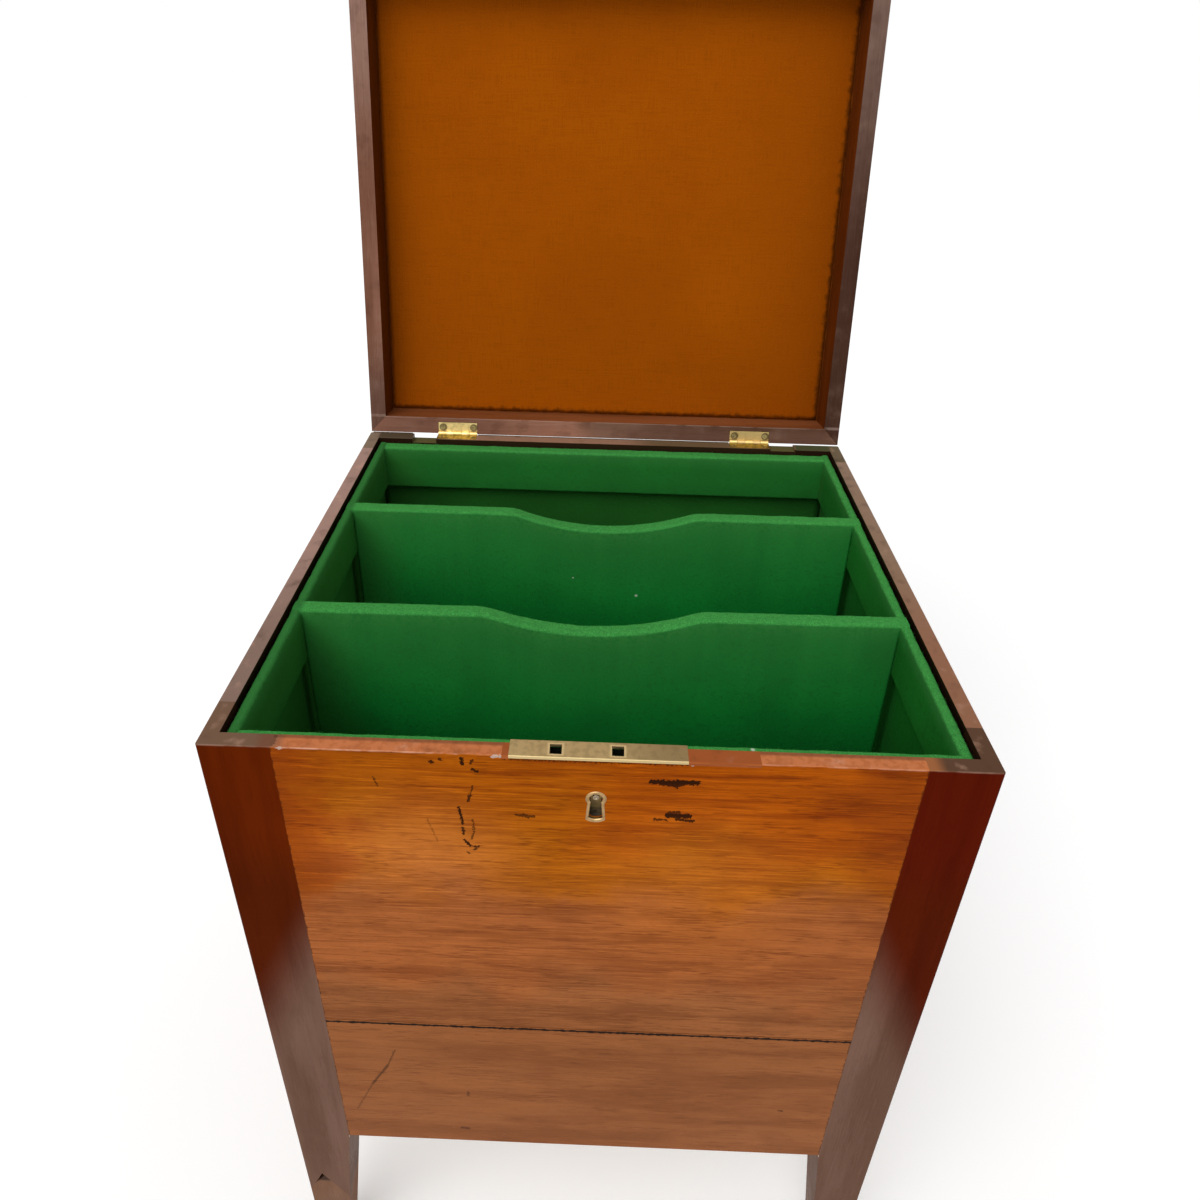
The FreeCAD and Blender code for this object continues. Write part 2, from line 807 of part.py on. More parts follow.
def lock_bolt():
    depth0 = bolt_centre - bolt_thick / 2
    depth1 = bolt_centre + bolt_thick / 2
    solid = front_box(bolt_left, bolt_bar_right, depth0, depth1, bolt_bar_top, bolt_bar_bottom)
    for staple_x in staple_hole_x:
        riser_left, riser_right, prong_end = hook_place(staple_x)
        riser = front_box(riser_left, riser_right, depth0, depth1, hook_top, bolt_bar_top)
        prong = front_box(riser_left, prong_end, depth0, depth1, hook_top, hook_bottom)
        solid = solid.fuse([riser, prong])
    solid = solid.removeSplitter()
    talon_z = rim_height - bolt_bar_bottom
    talon = rod_y(-bolt_travel / 2, depth0 - half_depth, depth1 - half_depth, talon_z, talon_radius)
    return solid.cut([talon] + [bolt_slot(x) for x in stud_x])


def bolt_spring():
    """A bowed leaf on the bolt's back that rubs under the selvedge and holds the bolt where it is."""
    y0 = bolt_centre - bolt_thick / 2 - half_depth
    base = rim_height - bolt_bar_top
    apex = rim_height - selvedge_thick - spring_play
    spring_right = hook_place(staple_hole_x[1])[0] - spring_riser_play
    spring_left = spring_right - spring_length
    middle = (spring_left + spring_right) / 2
    point = lambda x, z: Vector(x, y0, z)
    inner_apex = apex - spring_thick
    edges = [
        Part.Arc(point(spring_left, base), point(middle, apex), point(spring_right, base)).toShape(),
        Part.LineSegment(point(spring_right, base), point(spring_right - spring_thick, base)).toShape(),
        Part.Arc(
            point(spring_right - spring_thick, base),
            point(middle, inner_apex),
            point(spring_left + spring_thick, base),
        ).toShape(),
        Part.LineSegment(point(spring_left + spring_thick, base), point(spring_left, base)).toShape(),
    ]
    face = Part.Face(Part.Wire(Part.__sortEdges__(edges)))
    return face.extrude(Vector(0, bolt_thick, 0))


def lock():
    return {
        "lock_plate": lock_plate(),
        "lock_cap": lock_cap(),
        "lock_drill_pin": drill_pin(),
        "lock_guide_studs": guide_studs(),
        "lock_screws": Part.makeCompound(at_lock_screws(screw(lock_screw_length))),
        "lock_bolt": lock_bolt(),
        "lock_bolt_spring": bolt_spring(),
        "keyhole_escutcheon": keyhole_surround(),
    }


# ---------------------------------------------------------------- hinges, modelled with the lid shut

def knuckle_span(centre, index):
    """Ends of one knuckle along X."""
    pitch = hinge_length / hinge_knuckles
    start = centre - hinge_length / 2 + index * pitch
    return start + knuckle_play / 2, start + pitch - knuckle_play / 2


def stop_lug(x0, x1, inner_radius, degrees):
    """A sector shaped lug on the barrel, centred on an angle: 0 points to the back and 90 up."""
    corners = [
        Vector(x0, inner_radius, 0),
        Vector(x1, inner_radius, 0),
        Vector(x1, lug_reach, 0),
        Vector(x0, lug_reach, 0),
    ]
    face = Part.Face(Part.makePolygon(corners + corners[:1]))
    lug = face.revolve(Vector(0, 0, 0), Vector(1, 0, 0), lug_span)
    lug.rotate(Vector(0, 0, 0), Vector(1, 0, 0), degrees - lug_span / 2)
    lug.translate(Vector(0, hinge_y, hinge_z))
    return lug


def hinge_leaf(centre, side):
    """Case leaf (side -1, below the joint) or lid leaf (side 1, above it) of one hinge."""
    half = hinge_length / 2
    face = hinge_z + side * hinge_gap / 2
    low, high = sorted((face, face + side * hinge_leaf_thick))
    solid = box(centre - half, centre + half, half_depth - hinge_leaf_reach, hinge_y, low, high)
    first_own = 0 if side < 0 else 1
    barrels = []
    for index in range(hinge_knuckles):
        x0, x1 = knuckle_span(centre, index)
        if index % 2 == first_own:
            barrels.append(rod_x(x0, x1, hinge_y, hinge_z, barrel_radius))
        else:
            room = rod_x(x0 - knuckle_play, x1 + knuckle_play, hinge_y, hinge_z, barrel_radius + barrel_play)
            solid = solid.cut(room)
    solid = solid.fuse(barrels + hinge_lugs(centre, side)).removeSplitter()
    bore = pin_radius if side < 0 else pin_radius + pin_play
    holes = [rod_x(centre - half, centre + half, hinge_y, hinge_z, bore)]
    holes += at_hinge_screws(countersink(hinge_screw_length), centre, side)
    return solid.cut(holes)


def hinge_lugs(centre, side):
    """Lugs beside the first and last case knuckles; they meet when the lid stands fully open."""
    root = barrel_radius - lug_root
    lid_angle = lug_case_angle + lug_span + lug_stop_angle + open_angle
    lugs = []
    for end, knuckle in ((-1, 0), (1, hinge_knuckles - 1)):
        span = knuckle_span(centre, knuckle)
        case_edge = span[0] if end > 0 else span[1]
        lid_edge = case_edge - end * knuckle_play
        tip = lid_edge - end * lug_overlap
        if side > 0:
            lugs.append(stop_lug(*sorted((lid_edge, tip)), root, lid_angle))
            continue
        root_end = case_edge + end * lug_overlap
        lugs.append(stop_lug(*sorted((case_edge, root_end)), root, lug_case_angle))
        lugs.append(stop_lug(*sorted((case_edge, tip)), barrel_radius + barrel_play, lug_case_angle))
    return lugs


def at_hinge_screws(shape, centre, side):
    """Copies of a screw or its hole in one leaf of one hinge, head towards the joint."""
    z = hinge_z + side * hinge_gap / 2
    y = half_depth - hinge_screw_reach
    turn = 0 if side < 0 else 180
    spots = [Vector(centre + end * hinge_screw_offset, y, z) for end in (-1, 1)]
    return [placed(shape, spot, Vector(1, 0, 0), turn) for spot in spots]


def hinge_seat(centre, side):
    """Mortise for a leaf, clearance for the knuckle, and screw holes, in the wood on one side."""
    half = hinge_length / 2 + mortise_play
    face = hinge_z + side * hinge_gap / 2
    low, high = sorted((face - side * PAST, face + side * hinge_leaf_thick))
    front = half_depth - hinge_leaf_reach - mortise_play
    seat = box(centre - half, centre + half, front, hinge_y + PAST, low, high)
    notch = rod_x(centre - half, centre + half, hinge_y, hinge_z, barrel_radius + notch_play)
    return seat.fuse([notch] + at_hinge_screws(countersink(hinge_screw_length), centre, side))


def lug_room(centre):
    """Notch in the back of the lid, where it stands out over the case, for the knuckle's stop lugs."""
    half = hinge_length / 2 + mortise_play
    top = hinge_z + lug_reach + notch_play
    return box(centre - half, centre + half, half_depth, hinge_y + PAST, lid_bottom - PAST, top)


def hinges():
    """Both hinges: leaves and pins, and the screws of the case leaves and of the lid leaves."""
    case_nodes = {}
    lid_nodes = {}
    screws = {-1: [], 1: []}
    half = hinge_length / 2
    for name, centre in zip(("left", "right"), hinge_centres):
        case_nodes[f"hinge_{name}_case_leaf"] = hinge_leaf(centre, -1)
        case_nodes[f"hinge_{name}_pin"] = rod_x(centre - half, centre + half, hinge_y, hinge_z, pin_radius)
        lid_nodes[f"hinge_{name}_lid_leaf"] = hinge_leaf(centre, 1)
        for side, row in screws.items():
            row += at_hinge_screws(screw(hinge_screw_length), centre, side)
    case_nodes["hinge_case_screws"] = Part.makeCompound(screws[-1])
    lid_nodes["hinge_lid_screws"] = Part.makeCompound(screws[1])
    return case_nodes, lid_nodes


# ---------------------------------------------------------------- lid, modelled shut

def frame_corners(half_x, front, back):
    return [(-half_x, front), (half_x, front), (half_x, back), (-half_x, back)]


def staple(x):
    """One staple of the link plate, with an eye along X for the bolt's hook."""
    x0 = x - staple_thick / 2
    x1 = x + staple_thick / 2
    half = staple_width / 2
    body = front_box(x0, x1, bolt_centre - half, bolt_centre + half, -hinge_gap, staple_drop)
    body = body.makeFillet(staple_round, level_edges(body, rim_height - staple_drop, 0))
    half = eye_width / 2
    eye = front_box(x0, x1, bolt_centre - half, bolt_centre + half, eye_top, eye_bottom)
    return body.cut(eye)


def at_link_screws(shape):
    """Copies of a screw or its hole in the link plate, pointing up into the lid's front rail."""
    y = selvedge_width / 2 - half_depth
    return [placed(shape, Vector(x, y, lid_bottom), Vector(1, 0, 0), 180) for x in link_screw_x]


def link_plate():
    top = -hinge_gap - selvedge_thick
    plate = front_box(selvedge_x(-1), selvedge_x(1), 0, selvedge_width, top, -hinge_gap)
    solid = plate.fuse([staple(x) for x in staple_hole_x]).removeSplitter()
    return solid.cut(at_link_screws(countersink(link_screw_length)))


def lid_frame():
    """Four mitred rails; the back one stands out over the case, in line with the hinge pins."""
    outer = frame_corners(lid_half_width, -half_depth, hinge_y)
    inner_y = half_depth - lid_rail_width
    inner = frame_corners(lid_half_width - lid_rail_width, -inner_y, inner_y)
    left, front, right, back = [
        prism_z([outer[i - 1], outer[i], inner[i], inner[i - 1]], lid_bottom, lid_panel_z) for i in range(4)
    ]
    seat_top = -hinge_gap - selvedge_thick
    plate_seat = front_box(selvedge_x(-1), selvedge_x(1), -PAST, selvedge_width, seat_top, 0)
    hinge_cuts = [hinge_seat(centre, 1) for centre in hinge_centres]
    hinge_cuts += [lug_room(centre) for centre in hinge_centres]
    return {
        "lid_rail_front": front.cut([plate_seat] + at_link_screws(countersink(link_screw_length))),
        "lid_rail_back": back.cut(hinge_cuts),
        "lid_rail_left": left,
        "lid_rail_right": right,
    }


def lid_panel():
    solid = box(-lid_half_width, lid_half_width, -half_depth, hinge_y, lid_panel_z, lid_top)
    return rounded(solid, lid_panel_round, lambda p: near(p.z, lid_top))


def lid():
    nodes = lid_frame()
    reach_x = lid_half_width - lid_rail_width - lid_lining_play
    reach_y = half_depth - lid_rail_width - lid_lining_play
    nodes["lid_panel"] = lid_panel()
    lining_low = lid_panel_z - lid_lining_thick
    nodes["lid_lining"] = box(-reach_x, reach_x, -reach_y, reach_y, lining_low, lid_panel_z)
    nodes["link_plate"] = link_plate()
    nodes["link_screws"] = Part.makeCompound(at_link_screws(screw(link_screw_length)))
    return nodes


def opened(shape):
    """The lid's pieces swung open about the hinge pins."""
    copy = shape.copy()
    copy.rotate(Vector(0, hinge_y, hinge_z), Vector(1, 0, 0), -open_angle)
    return copy


# ---------------------------------------------------------------- all nodes

def all_nodes():
    case_hinges, lid_hinges = hinges()
    nodes = {}
    for group in (legs(), front_boards(), case_walls(), case_floor(), linings(), insert(), lock()):
        nodes.update(group)
    nodes.update(case_hinges)
    for group in (lid(), lid_hinges):
        nodes.update({name: opened(shape) for name, shape in group.items()})
    return nodes


def main():
    os.makedirs("parts", exist_ok=True)
    for name, shape in all_nodes().items():
        shape.exportStep(os.path.join("parts", f"{name}.step"))
        print(f"{name}: {len(shape.Solids)} solid(s), {shape.Volume:.0f} mm3, valid {shape.isValid()}")


main()
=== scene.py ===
import json
import math

import bpy
from bpy.props import FloatProperty, FloatVectorProperty, PointerProperty
from mathutils import Matrix, Vector, noise


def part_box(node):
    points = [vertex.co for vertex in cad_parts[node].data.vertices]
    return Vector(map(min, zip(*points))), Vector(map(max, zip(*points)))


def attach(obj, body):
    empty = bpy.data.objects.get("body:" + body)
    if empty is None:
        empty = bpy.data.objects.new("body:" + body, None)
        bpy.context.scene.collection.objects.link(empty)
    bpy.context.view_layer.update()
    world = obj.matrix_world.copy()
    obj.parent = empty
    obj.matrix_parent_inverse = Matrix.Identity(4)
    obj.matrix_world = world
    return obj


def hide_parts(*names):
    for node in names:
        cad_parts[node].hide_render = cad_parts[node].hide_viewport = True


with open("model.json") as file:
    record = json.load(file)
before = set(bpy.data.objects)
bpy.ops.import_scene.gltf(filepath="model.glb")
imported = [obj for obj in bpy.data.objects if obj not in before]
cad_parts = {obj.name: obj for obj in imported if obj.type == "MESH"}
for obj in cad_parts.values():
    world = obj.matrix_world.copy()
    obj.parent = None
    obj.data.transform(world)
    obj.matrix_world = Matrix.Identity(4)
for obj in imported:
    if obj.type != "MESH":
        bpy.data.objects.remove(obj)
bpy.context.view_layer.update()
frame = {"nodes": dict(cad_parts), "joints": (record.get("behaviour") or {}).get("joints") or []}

bl_info = {
    "name": "Cellarette",
    "version": (1, 0, 0),
    "blender": (4, 5, 0),
    "location": "3D View > Sidebar > Cellarette",
    "description": "Polished mahogany, baize, brass and stage for a lidded bottle box on legs",
    "category": "Object",
}

MM = 0.001
PICTURE = 1200
X, Y, Z = 0, 1, 2
MATH, VECTORS, RANGE = "ShaderNodeMath", "ShaderNodeVectorMath", "ShaderNodeMapRange"
MIX, NOISE = "ShaderNodeMix", "ShaderNodeTexNoise"
SPLIT, JOIN = "ShaderNodeSeparateXYZ", "ShaderNodeCombineXYZ"

LID_HINGE = next(joint for joint in frame["joints"] if joint["name"] == "lid_hinge")
LID_AXIS = Vector(LID_HINGE["pos_m"])
LID_OPEN = math.radians(max(LID_HINGE["range_deg"]) - min(LID_HINGE["range_deg"]))
SHUT_TURN = Matrix.Rotation(LID_OPEN, 3, "X")
OPEN_TURN = Matrix.Rotation(-LID_OPEN, 3, "X")
# of the shut lid: the underside of its rails, and the inner face of its back rail
LID_FACE = LID_AXIS.z + 0.25 * MM
LID_INNER_BACK = 192.5 * MM

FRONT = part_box("leg_front_left")[0].y
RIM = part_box("leg_front_left")[1].z
STILE = -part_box("leg_front_left")[1].x
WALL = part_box("lining_right")[1].x
BOARD_JOINT = (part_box("front_upper_board")[0].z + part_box("front_lower_board")[1].z) / 2
# places of the fittings in millimetres, and how far each hinge's screws stand from its middle
HINGE_CENTRES = (-144.0, 142.5)
HINGE_SCREWS = 15.0
HINGE_SCREW_Y = 201.8
LINK_SCREWS_X = (-42.0, 43.0)
LINK_SCREW_Y = -200.7
HOLE_CENTRES = (-24.0, 11.7)
HOLE_DEPTH = 6.3
FLOOR_SCREWS_Y = (-110.0, 110.0)

# the two ends of ramps that pick out the rim's flat top, a line just under it, and the front arris
ON_RIM = (RIM - 0.5 * MM, RIM - 0.1 * MM)
UNDER_RIM = (RIM - 1.0 * MM, RIM - 0.5 * MM)
FRONT_ARRIS = (FRONT + 0.8 * MM, FRONT + 0.3 * MM)
# the same for what is under the case's floor, over it, and inside its walls in x and in depth
BELOW_CASE = (0.2055, 0.205)
IN_CASE = (0.21, 0.212)
INSIDE_X = (0.2199, 0.2196)
INSIDE_Y = (0.1974, 0.1971)
# how steeply the line between the posts' dark polish and the painted floor reflection below it slants, and
# the distance from the middle where it stands at its height
SLANT = 2.2
SLANT_FROM = 0.209


def linear(colour):
    """Linear red, green, blue and alpha of an sRGB hex colour."""
    values = [int(colour[i : i + 2], 16) / 255 for i in (1, 3, 5)]
    return tuple(v / 12.92 if v <= 0.04045 else ((v + 0.055) / 1.055) ** 2.4 for v in values) + (1.0,)


def tone(colour, factor, shift=0.0):
    """A lighter or darker colour of the same family; shift moves it towards red."""
    red, green, blue, alpha = linear(colour) if isinstance(colour, str) else colour
    scaled = (red * factor * (1 + shift), green * factor, blue * factor * (1 - shift))
    return tuple(min(1, value) for value in scaled) + (alpha,)


def fill(tree, node, inputs):
    """Sets and links a node's inputs, by name or number.

    Each is a value, an sRGB hex colour, a socket, a node, whose first output in use is linked, or a
    list of nodes for an input that joins them.
    """
    for key, given in inputs.items():
        named = (socket for socket in node.inputs if socket.enabled and socket.name == key)
        socket = node.inputs[key] if isinstance(key, int) else next(named)
        for value in given if isinstance(given, list) else [given]:
            if isinstance(value, bpy.types.Node):
                value = next(output for output in value.outputs if output.enabled)
            if isinstance(value, bpy.types.NodeSocket):
                tree.links.new(value, socket)
            else:
                is_hex = isinstance(value, str) and value.startswith("#")
                socket.default_value = linear(value) if is_hex else value


def add(tree, kind, inputs=None, **settings):
    """Adds a node with its settings and links."""
    node = tree.nodes.new(kind)
    for name, value in settings.items():
        setattr(node, name, value)
    fill(tree, node, inputs or {})
    return node


def colour_property(name, description, colour):
    return FloatVectorProperty(
        name=name, description=description, subtype="COLOR", size=4, min=0, max=1, default=linear(colour)
    )


def length_property(name, description, millimetres):
    return FloatProperty(name=name, description=description, default=millimetres * MM, unit="LENGTH")


# ---------------------------------------------------------------- settings


class CellaretteWood(bpy.types.PropertyGroup):
    board: colour_property("Front boards", "Brown of the front boards' middle", "#945226")
    gold: colour_property("Gold", "Thick amber polish at the front's top and edges", "#9E4A04")
    low: colour_property("Low board", "Plainer brown near and below the boards' joint", "#885029")
    leg_left: colour_property("Left post", "Red-brown of the left posts", "#5A1D02")
    # the low brown is paler partly as a painted reflection of the floor in the polish lower down
    leg_right: colour_property("Right post", "Red-brown of the right posts", "#501204")
    # painted reflection: the legs' lower half is drawn paler where the polish reflects the floor
    leg_low_floor_reflection: colour_property("Lower legs", "Dusty brown of the legs' lower half", "#6E5244")
    side: colour_property("Sides", "Brown of the sides and back", "#7A3C12")
    rim_front: colour_property("Front rim", "Rubbed wood of the front's top edge", "#C27448")
    rim_side: colour_property("Side rims", "Dusty wood of the sides' top edges", "#96766A")
    lid: colour_property("Lid", "Dusty underside of the lid's frame", "#805848")
    # the inner sides are drawn dark partly with painted shade
    lid_inside: colour_property("Lid inside", "Polished inner sides of the lid's frame", "#66300C")
    pine: colour_property("Pine", "Bare softwood under the box", "#A98A5E")
    polish: FloatProperty(
        name="Polish", description="Roughness of unworn polish", default=0.27, min=0.05, max=0.9
    )


class CellaretteBaize(bpy.types.PropertyGroup):
    face: colour_property("Dividers", "Green of the dividers' flat faces", "#0A7A2C")
    side: colour_property("Sides", "Green of the insert's sides", "#14661C")
    # the crown is paler partly as painted light on the upward edges, and partly for the standing nap and wear
    crown: colour_property("Crown", "Paler green where the nap stands up along the edges", "#3F9344")
    lid: colour_property("Lid cloth", "Amber of the lid's cloth", "#9E4C00")
    edge_round: length_property("Edge round", "How round the covered edges are", 2.4)
    wobble: length_property("Wobble", "How uneven the covered edges are", 0.45)
    nap_length: length_property("Nap", "Length of the loose fibres", 1.3)
    nap_count: FloatProperty(
        name="Nap density", description="Loose fibres in a square metre of edge", default=380000, min=0
    )
    cloth: length_property("Cloth", "Thickness of the cloth on walls and floor", 1.1)


class CellaretteBrass(bpy.types.PropertyGroup):
    hinge: colour_property("Hinges", "Rubbed brass of the hinges' lid leaves", "#FFE4A0")
    leaf: colour_property("Case leaves", "Olive brass of the hinges' case leaves", "#A8903E")
    lock: colour_property("Lock", "Dull brass of the lock and link plates", "#BBA272")
    surround: colour_property("Keyhole surround", "Brass of the keyhole's surround", "#C2A070")
    head: length_property("Screw head", "Radius of a screw's head", 2.35)
    shank: length_property("Screw shank", "Radius of a screw's shank", 1.05)
    slot: length_property("Slot", "Width of a screw's slot", 0.7)


class CellaretteStage(bpy.types.PropertyGroup):
    floor: colour_property("Floor", "Pale floor", "#F6F6F6")
    world: FloatProperty(name="Room light", description="Strength of the even light", default=0.62, min=0)
    key: FloatProperty(name="Key light", description="Strength of the soft key light", default=1.5, min=0)


class CellaretteSettings(bpy.types.PropertyGroup):
    wood: PointerProperty(type=CellaretteWood)
    baize: PointerProperty(type=CellaretteBaize)
    brass: PointerProperty(type=CellaretteBrass)
    stage: PointerProperty(type=CellaretteStage)


# ---------------------------------------------------------------- shared by the materials


def new_material(name):
    """A material, its tree, its shader and the place of each point on the piece."""
    material = bpy.data.materials.new(name)
    material.use_nodes = True
    tree = material.node_tree
    return material, tree, tree.nodes["Principled BSDF"], add(tree, "ShaderNodeTexCoord").outputs["Object"]


def put(material, *names):
    """Gives CAD nodes this material."""
    for name in names:
        slots = frame["nodes"][name].data.materials
        slots.clear()
        slots.append(material)


def window(tree, *ramps, strength=1.0):
    """How far all of these values have climbed their ramps, each (value, from, to), up to a strength."""
    share = strength
    for value, low, high in ramps:
        ends = {"Value": value, "From Min": low, "From Max": high, "To Max": share}
        share = add(tree, RANGE, ends, interpolation_type="SMOOTHSTEP")
    return share


def stain(tree, base, *coats):
    """Lays coats over a base in turn: each is a colour, its strength and any ramps, as in a window."""
    for colour, strength, *ramps in coats:
        share = window(tree, *ramps, strength=strength)
        base = add(tree, MIX, {"Factor": share, "A": base, "B": colour}, data_type="RGBA")
    return base


def streaks(tree, coords, along, length, width, detail=2.0, seed=0.0):
    """Noise drawn out along the grain: length and width of its lumps in metres."""
    scale = [1 / width] * 3
    scale[along] = 1 / length
    moved = {"Vector": coords, "Location": (seed, seed * 1.7, seed * 0.6), "Scale": tuple(scale)}
    place = add(tree, "ShaderNodeMapping", moved)
    return add(tree, NOISE, {"Vector": place, "Scale": 1.0, "Detail": detail})


def shut_coords(tree, coords):
    """Where each point of the open lid stands with the lid shut."""
    back = {"Vector": coords, "Location": LID_AXIS - SHUT_TURN @ LID_AXIS, "Rotation": (LID_OPEN, 0, 0)}
    return add(tree, "ShaderNodeMapping", back)


def scratch(tree, place, start, end, half, soft=0.5 * MM):
    """How much a point lies on a thin mark between two points, given as x and height in millimetres."""
    a = Vector((start[0], 0, start[1])) * MM
    run = Vector((end[0], 0, end[1] + 0.01)) * MM - a
    away = add(tree, VECTORS, {0: place, 1: a}, operation="SUBTRACT")
    dot = add(tree, VECTORS, {0: away, 1: run / run.length_squared}, operation="DOT_PRODUCT")
    share = add(tree, "ShaderNodeClamp", {"Value": dot})
    spot = add(tree, VECTORS, {0: run, "Scale": share}, operation="SCALE")
    gap = add(tree, VECTORS, {0: away, 1: spot}, operation="DISTANCE")
    return window(tree, (gap, half * MM + soft, half * MM))


def all_marks(tree, place, marks):
    """The strongest of several scratches at each point."""
    total = 0.0
    for start, end, half, strength in marks:
        mark = scratch(tree, place, start, end, half)
        mark = add(tree, MATH, {0: mark, 1: strength}, operation="MULTIPLY")
        total = add(tree, MATH, {0: mark, 1: total}, operation="MAXIMUM")
    return total


# ---------------------------------------------------------------- wood


def figured_wood(tree, coords, along, base, seed, figure=1.0, level=1.0):
    """Colour and height of mahogany: broad ribbons, fine streaks, gathered dark flecks and short pores."""
    # length, width, detail and seed; real pores are 0.1 mm wide, and are drawn 0.35 mm wide to show
    broad, fine, silk, cloud, band, fleck, pore = (
        streaks(tree, coords, along, length, width, detail, seed + step)
        for length, width, detail, step in (
            (0.26, 0.024, 3.0, 0), (0.05, 0.0016, 3.0, 3), (0.03, 0.0008, 1.0, 5), (0.045, 0.022, 3.0, 7),
            (0.05, 0.008, 1.0, 9), (0.012, 0.0009, 1.0, 13), (0.006, 0.00035, 1.0, 11),
        )
    )
    dark = window(tree, (pore, 0.60, 0.72), strength=0.35 * figure)
    grain = stain(
        tree, (0.86, 0.82, 0.78, 1),
        ((1.15, 1.17, 1.2, 1), 1.0, (broad, 0.38, 0.62)),
        ((0.72, 0.66, 0.60, 1), 0.42 * figure, (cloud, 0.50, 0.68)),
        ((1.30, 1.36, 1.42, 1), 0.35 * figure, (cloud, 0.46, 0.30)),
        ((0.58, 0.48, 0.42, 1), 0.45 * figure, (fine, 0.50, 0.72)),
        ((1.50, 1.60, 1.70, 1), 0.4 * figure, (silk, 0.56, 0.70)),
        ((0.44, 0.34, 0.28, 1), 0.46 * figure, (fleck, 0.50, 0.66), (band, 0.46, 0.62)),
        ((0.3, 0.24, 0.2, 1), dark),
    )
    multiply = {"data_type": "RGBA", "blend_type": "MULTIPLY"}
    lit = add(tree, MIX, {"Factor": 1.0, "A": grain, "B": (level, level, level, 1)}, **multiply)
    made = add(tree, MIX, {"Factor": 1.0, "A": base, "B": lit}, **multiply)
    relief = add(tree, MATH, {0: fine, 1: 0.35}, operation="MULTIPLY")
    return made, add(tree, MATH, {0: relief, 1: dark}, operation="SUBTRACT")


def polish(tree, shader, colour, height, roughness, coords, bump=0.2, level=0.1):
    """Hand-rubbed amber polish: gloss varies over a hand's breadth, with the grain just felt through it."""
    smear = add(tree, NOISE, {"Vector": coords, "Scale": 18.0, "Detail": 4.0})
    low, high = roughness * 0.8, roughness * 1.35
    gloss = {"Value": smear, "From Min": 0.3, "From Max": 0.7, "To Min": low, "To Max": high}
    fill(tree, shader, {
        "Base Color": colour,
        "Roughness": add(tree, RANGE, gloss),
        "Specular IOR Level": level,
        "Specular Tint": "#FFA050",
        "Normal": add(tree, "ShaderNodeBump", {"Strength": bump, "Distance": 0.12 * MM, "Height": height}),
    })


def rubbed_top(tree, base, coords, near, far, seed, dark=0.5):
    """Top edges rubbed down to dusty wood, with grime in the low spots; near and far run along the depth."""
    _, y, z = add(tree, SPLIT, {"Vector": coords}).outputs
    patch = {"Vector": coords, "Scale": 70.0, "Detail": 5.0, "W": seed}
    patch = add(tree, NOISE, patch, noise_dimensions="4D")
    worn = stain(
        tree, near,
        (far, 1.0, (y, -0.12, 0.02)),
        ("#3E2B20", dark, (patch, 0.52, 0.74)),
        ("#C49A84", 0.35, (patch, 0.44, 0.28)),
    )
    return stain(tree, base, (worn, 1.0, (z, *ON_RIM)))


# each mark: start, end, half width and strength; x and height in millimetres, the height running on
# over the arris along the rim
UPPER_MARKS = (
    ((31.5, 613.4), (57.8, 613.8), 1.6, 0.95),
    ((37.0, 612.4), (49.0, 612.0), 1.6, 0.9),
    ((46.2, 612.0), (46.4, 609.4), 0.5, 0.9),
    ((34.9, 582.5), (42.0, 582.2), 0.8, 0.8),
    ((42.5, 586.2), (55.0, 586.2), 1.6, 0.95),
    ((43.0, 588.8), (49.0, 589.2), 0.7, 0.8),
    ((48.0, 583.2), (57.5, 582.3), 1.0, 0.9),
    ((-47.0, 581.9), (-36.5, 581.1), 0.7, 0.75),
    ((-43.0, 582.6), (-40.0, 580.4), 0.9, 0.75),
    ((-95.2, 623.6), (-94.6, 622.8), 0.9, 0.9),
    ((-89.9, 625.1), (-89.2, 624.4), 0.7, 0.8),
    ((-77.5, 626.5), (-77.2, 622.0), 0.9, 0.95),
    ((-71.0, 625.4), (-72.6, 622.8), 0.5, 0.85),
    ((-71.6, 618.3), (-68.8, 616.6), 0.7, 0.9),
    ((-71.7, 605.2), (-74.0, 597.0), 0.25, 0.75),
    ((-73.6, 597.0), (-75.2, 592.2), 0.7, 0.85),
    ((-80.8, 586.8), (-79.0, 573.0), 0.6, 0.95),
    ((-79.2, 569.5), (-79.0, 563.6), 0.55, 0.9),
    ((-72.9, 576.2), (-72.4, 568.0), 0.3, 0.7),
    ((-72.6, 566.5), (-74.3, 558.9), 0.4, 0.75),
    ((-78.8, 558.6), (-75.1, 553.0), 0.7, 0.95),
    ((-75.1, 553.0), (-70.0, 553.2), 0.5, 0.9),
    ((-70.0, 553.2), (-73.0, 550.0), 0.35, 0.8),
    ((-76.9, 547.6), (-76.4, 546.6), 0.5, 0.8),
    ((-100.2, 575.6), (-94.9, 555.9), 0.2, 0.4),
    ((-129.5, 609.3), (-127.4, 602.4), 0.25, 0.7),
    ((-51.0, 627.6), (52.0, 627.6), 0.3, 0.75),
    ((-53.0, 628.5), (-52.4, 639.0), 1.3, 0.8),
    ((60.0, 628.6), (92.0, 629.4), 0.5, 0.55),
    ((57.5, 630.0), (58.5, 639.5), 1.2, 0.6),
    ((-187.0, 633.0), (-187.2, 637.0), 2.2, 0.45),
)
PALE_MARKS = (
    ((54.2, 628.9), (56.6, 629.3), 1.5, 0.85),
    ((-59.6, 628.6), (-54.6, 629.4), 0.9, 0.7),
    ((-182.8, 629.6), (-180.6, 629.8), 0.6, 0.7),
)
LOWER_MARKS = (
    ((-140.0, 329.4), (-147.0, 309.0), 0.35, 0.55),
    ((-147.0, 309.0), (-160.5, 283.5), 0.75, 0.6),
    ((-160.5, 283.5), (-175.8, 247.2), 0.3, 0.45),
    ((-88.9, 277.0), (-88.6, 272.0), 0.7, 0.5),
    ((148.0, 269.0), (149.4, 268.4), 0.9, 0.6),
    ((-95.5, 224.6), (-90.5, 223.9), 1.1, 0.6),
)


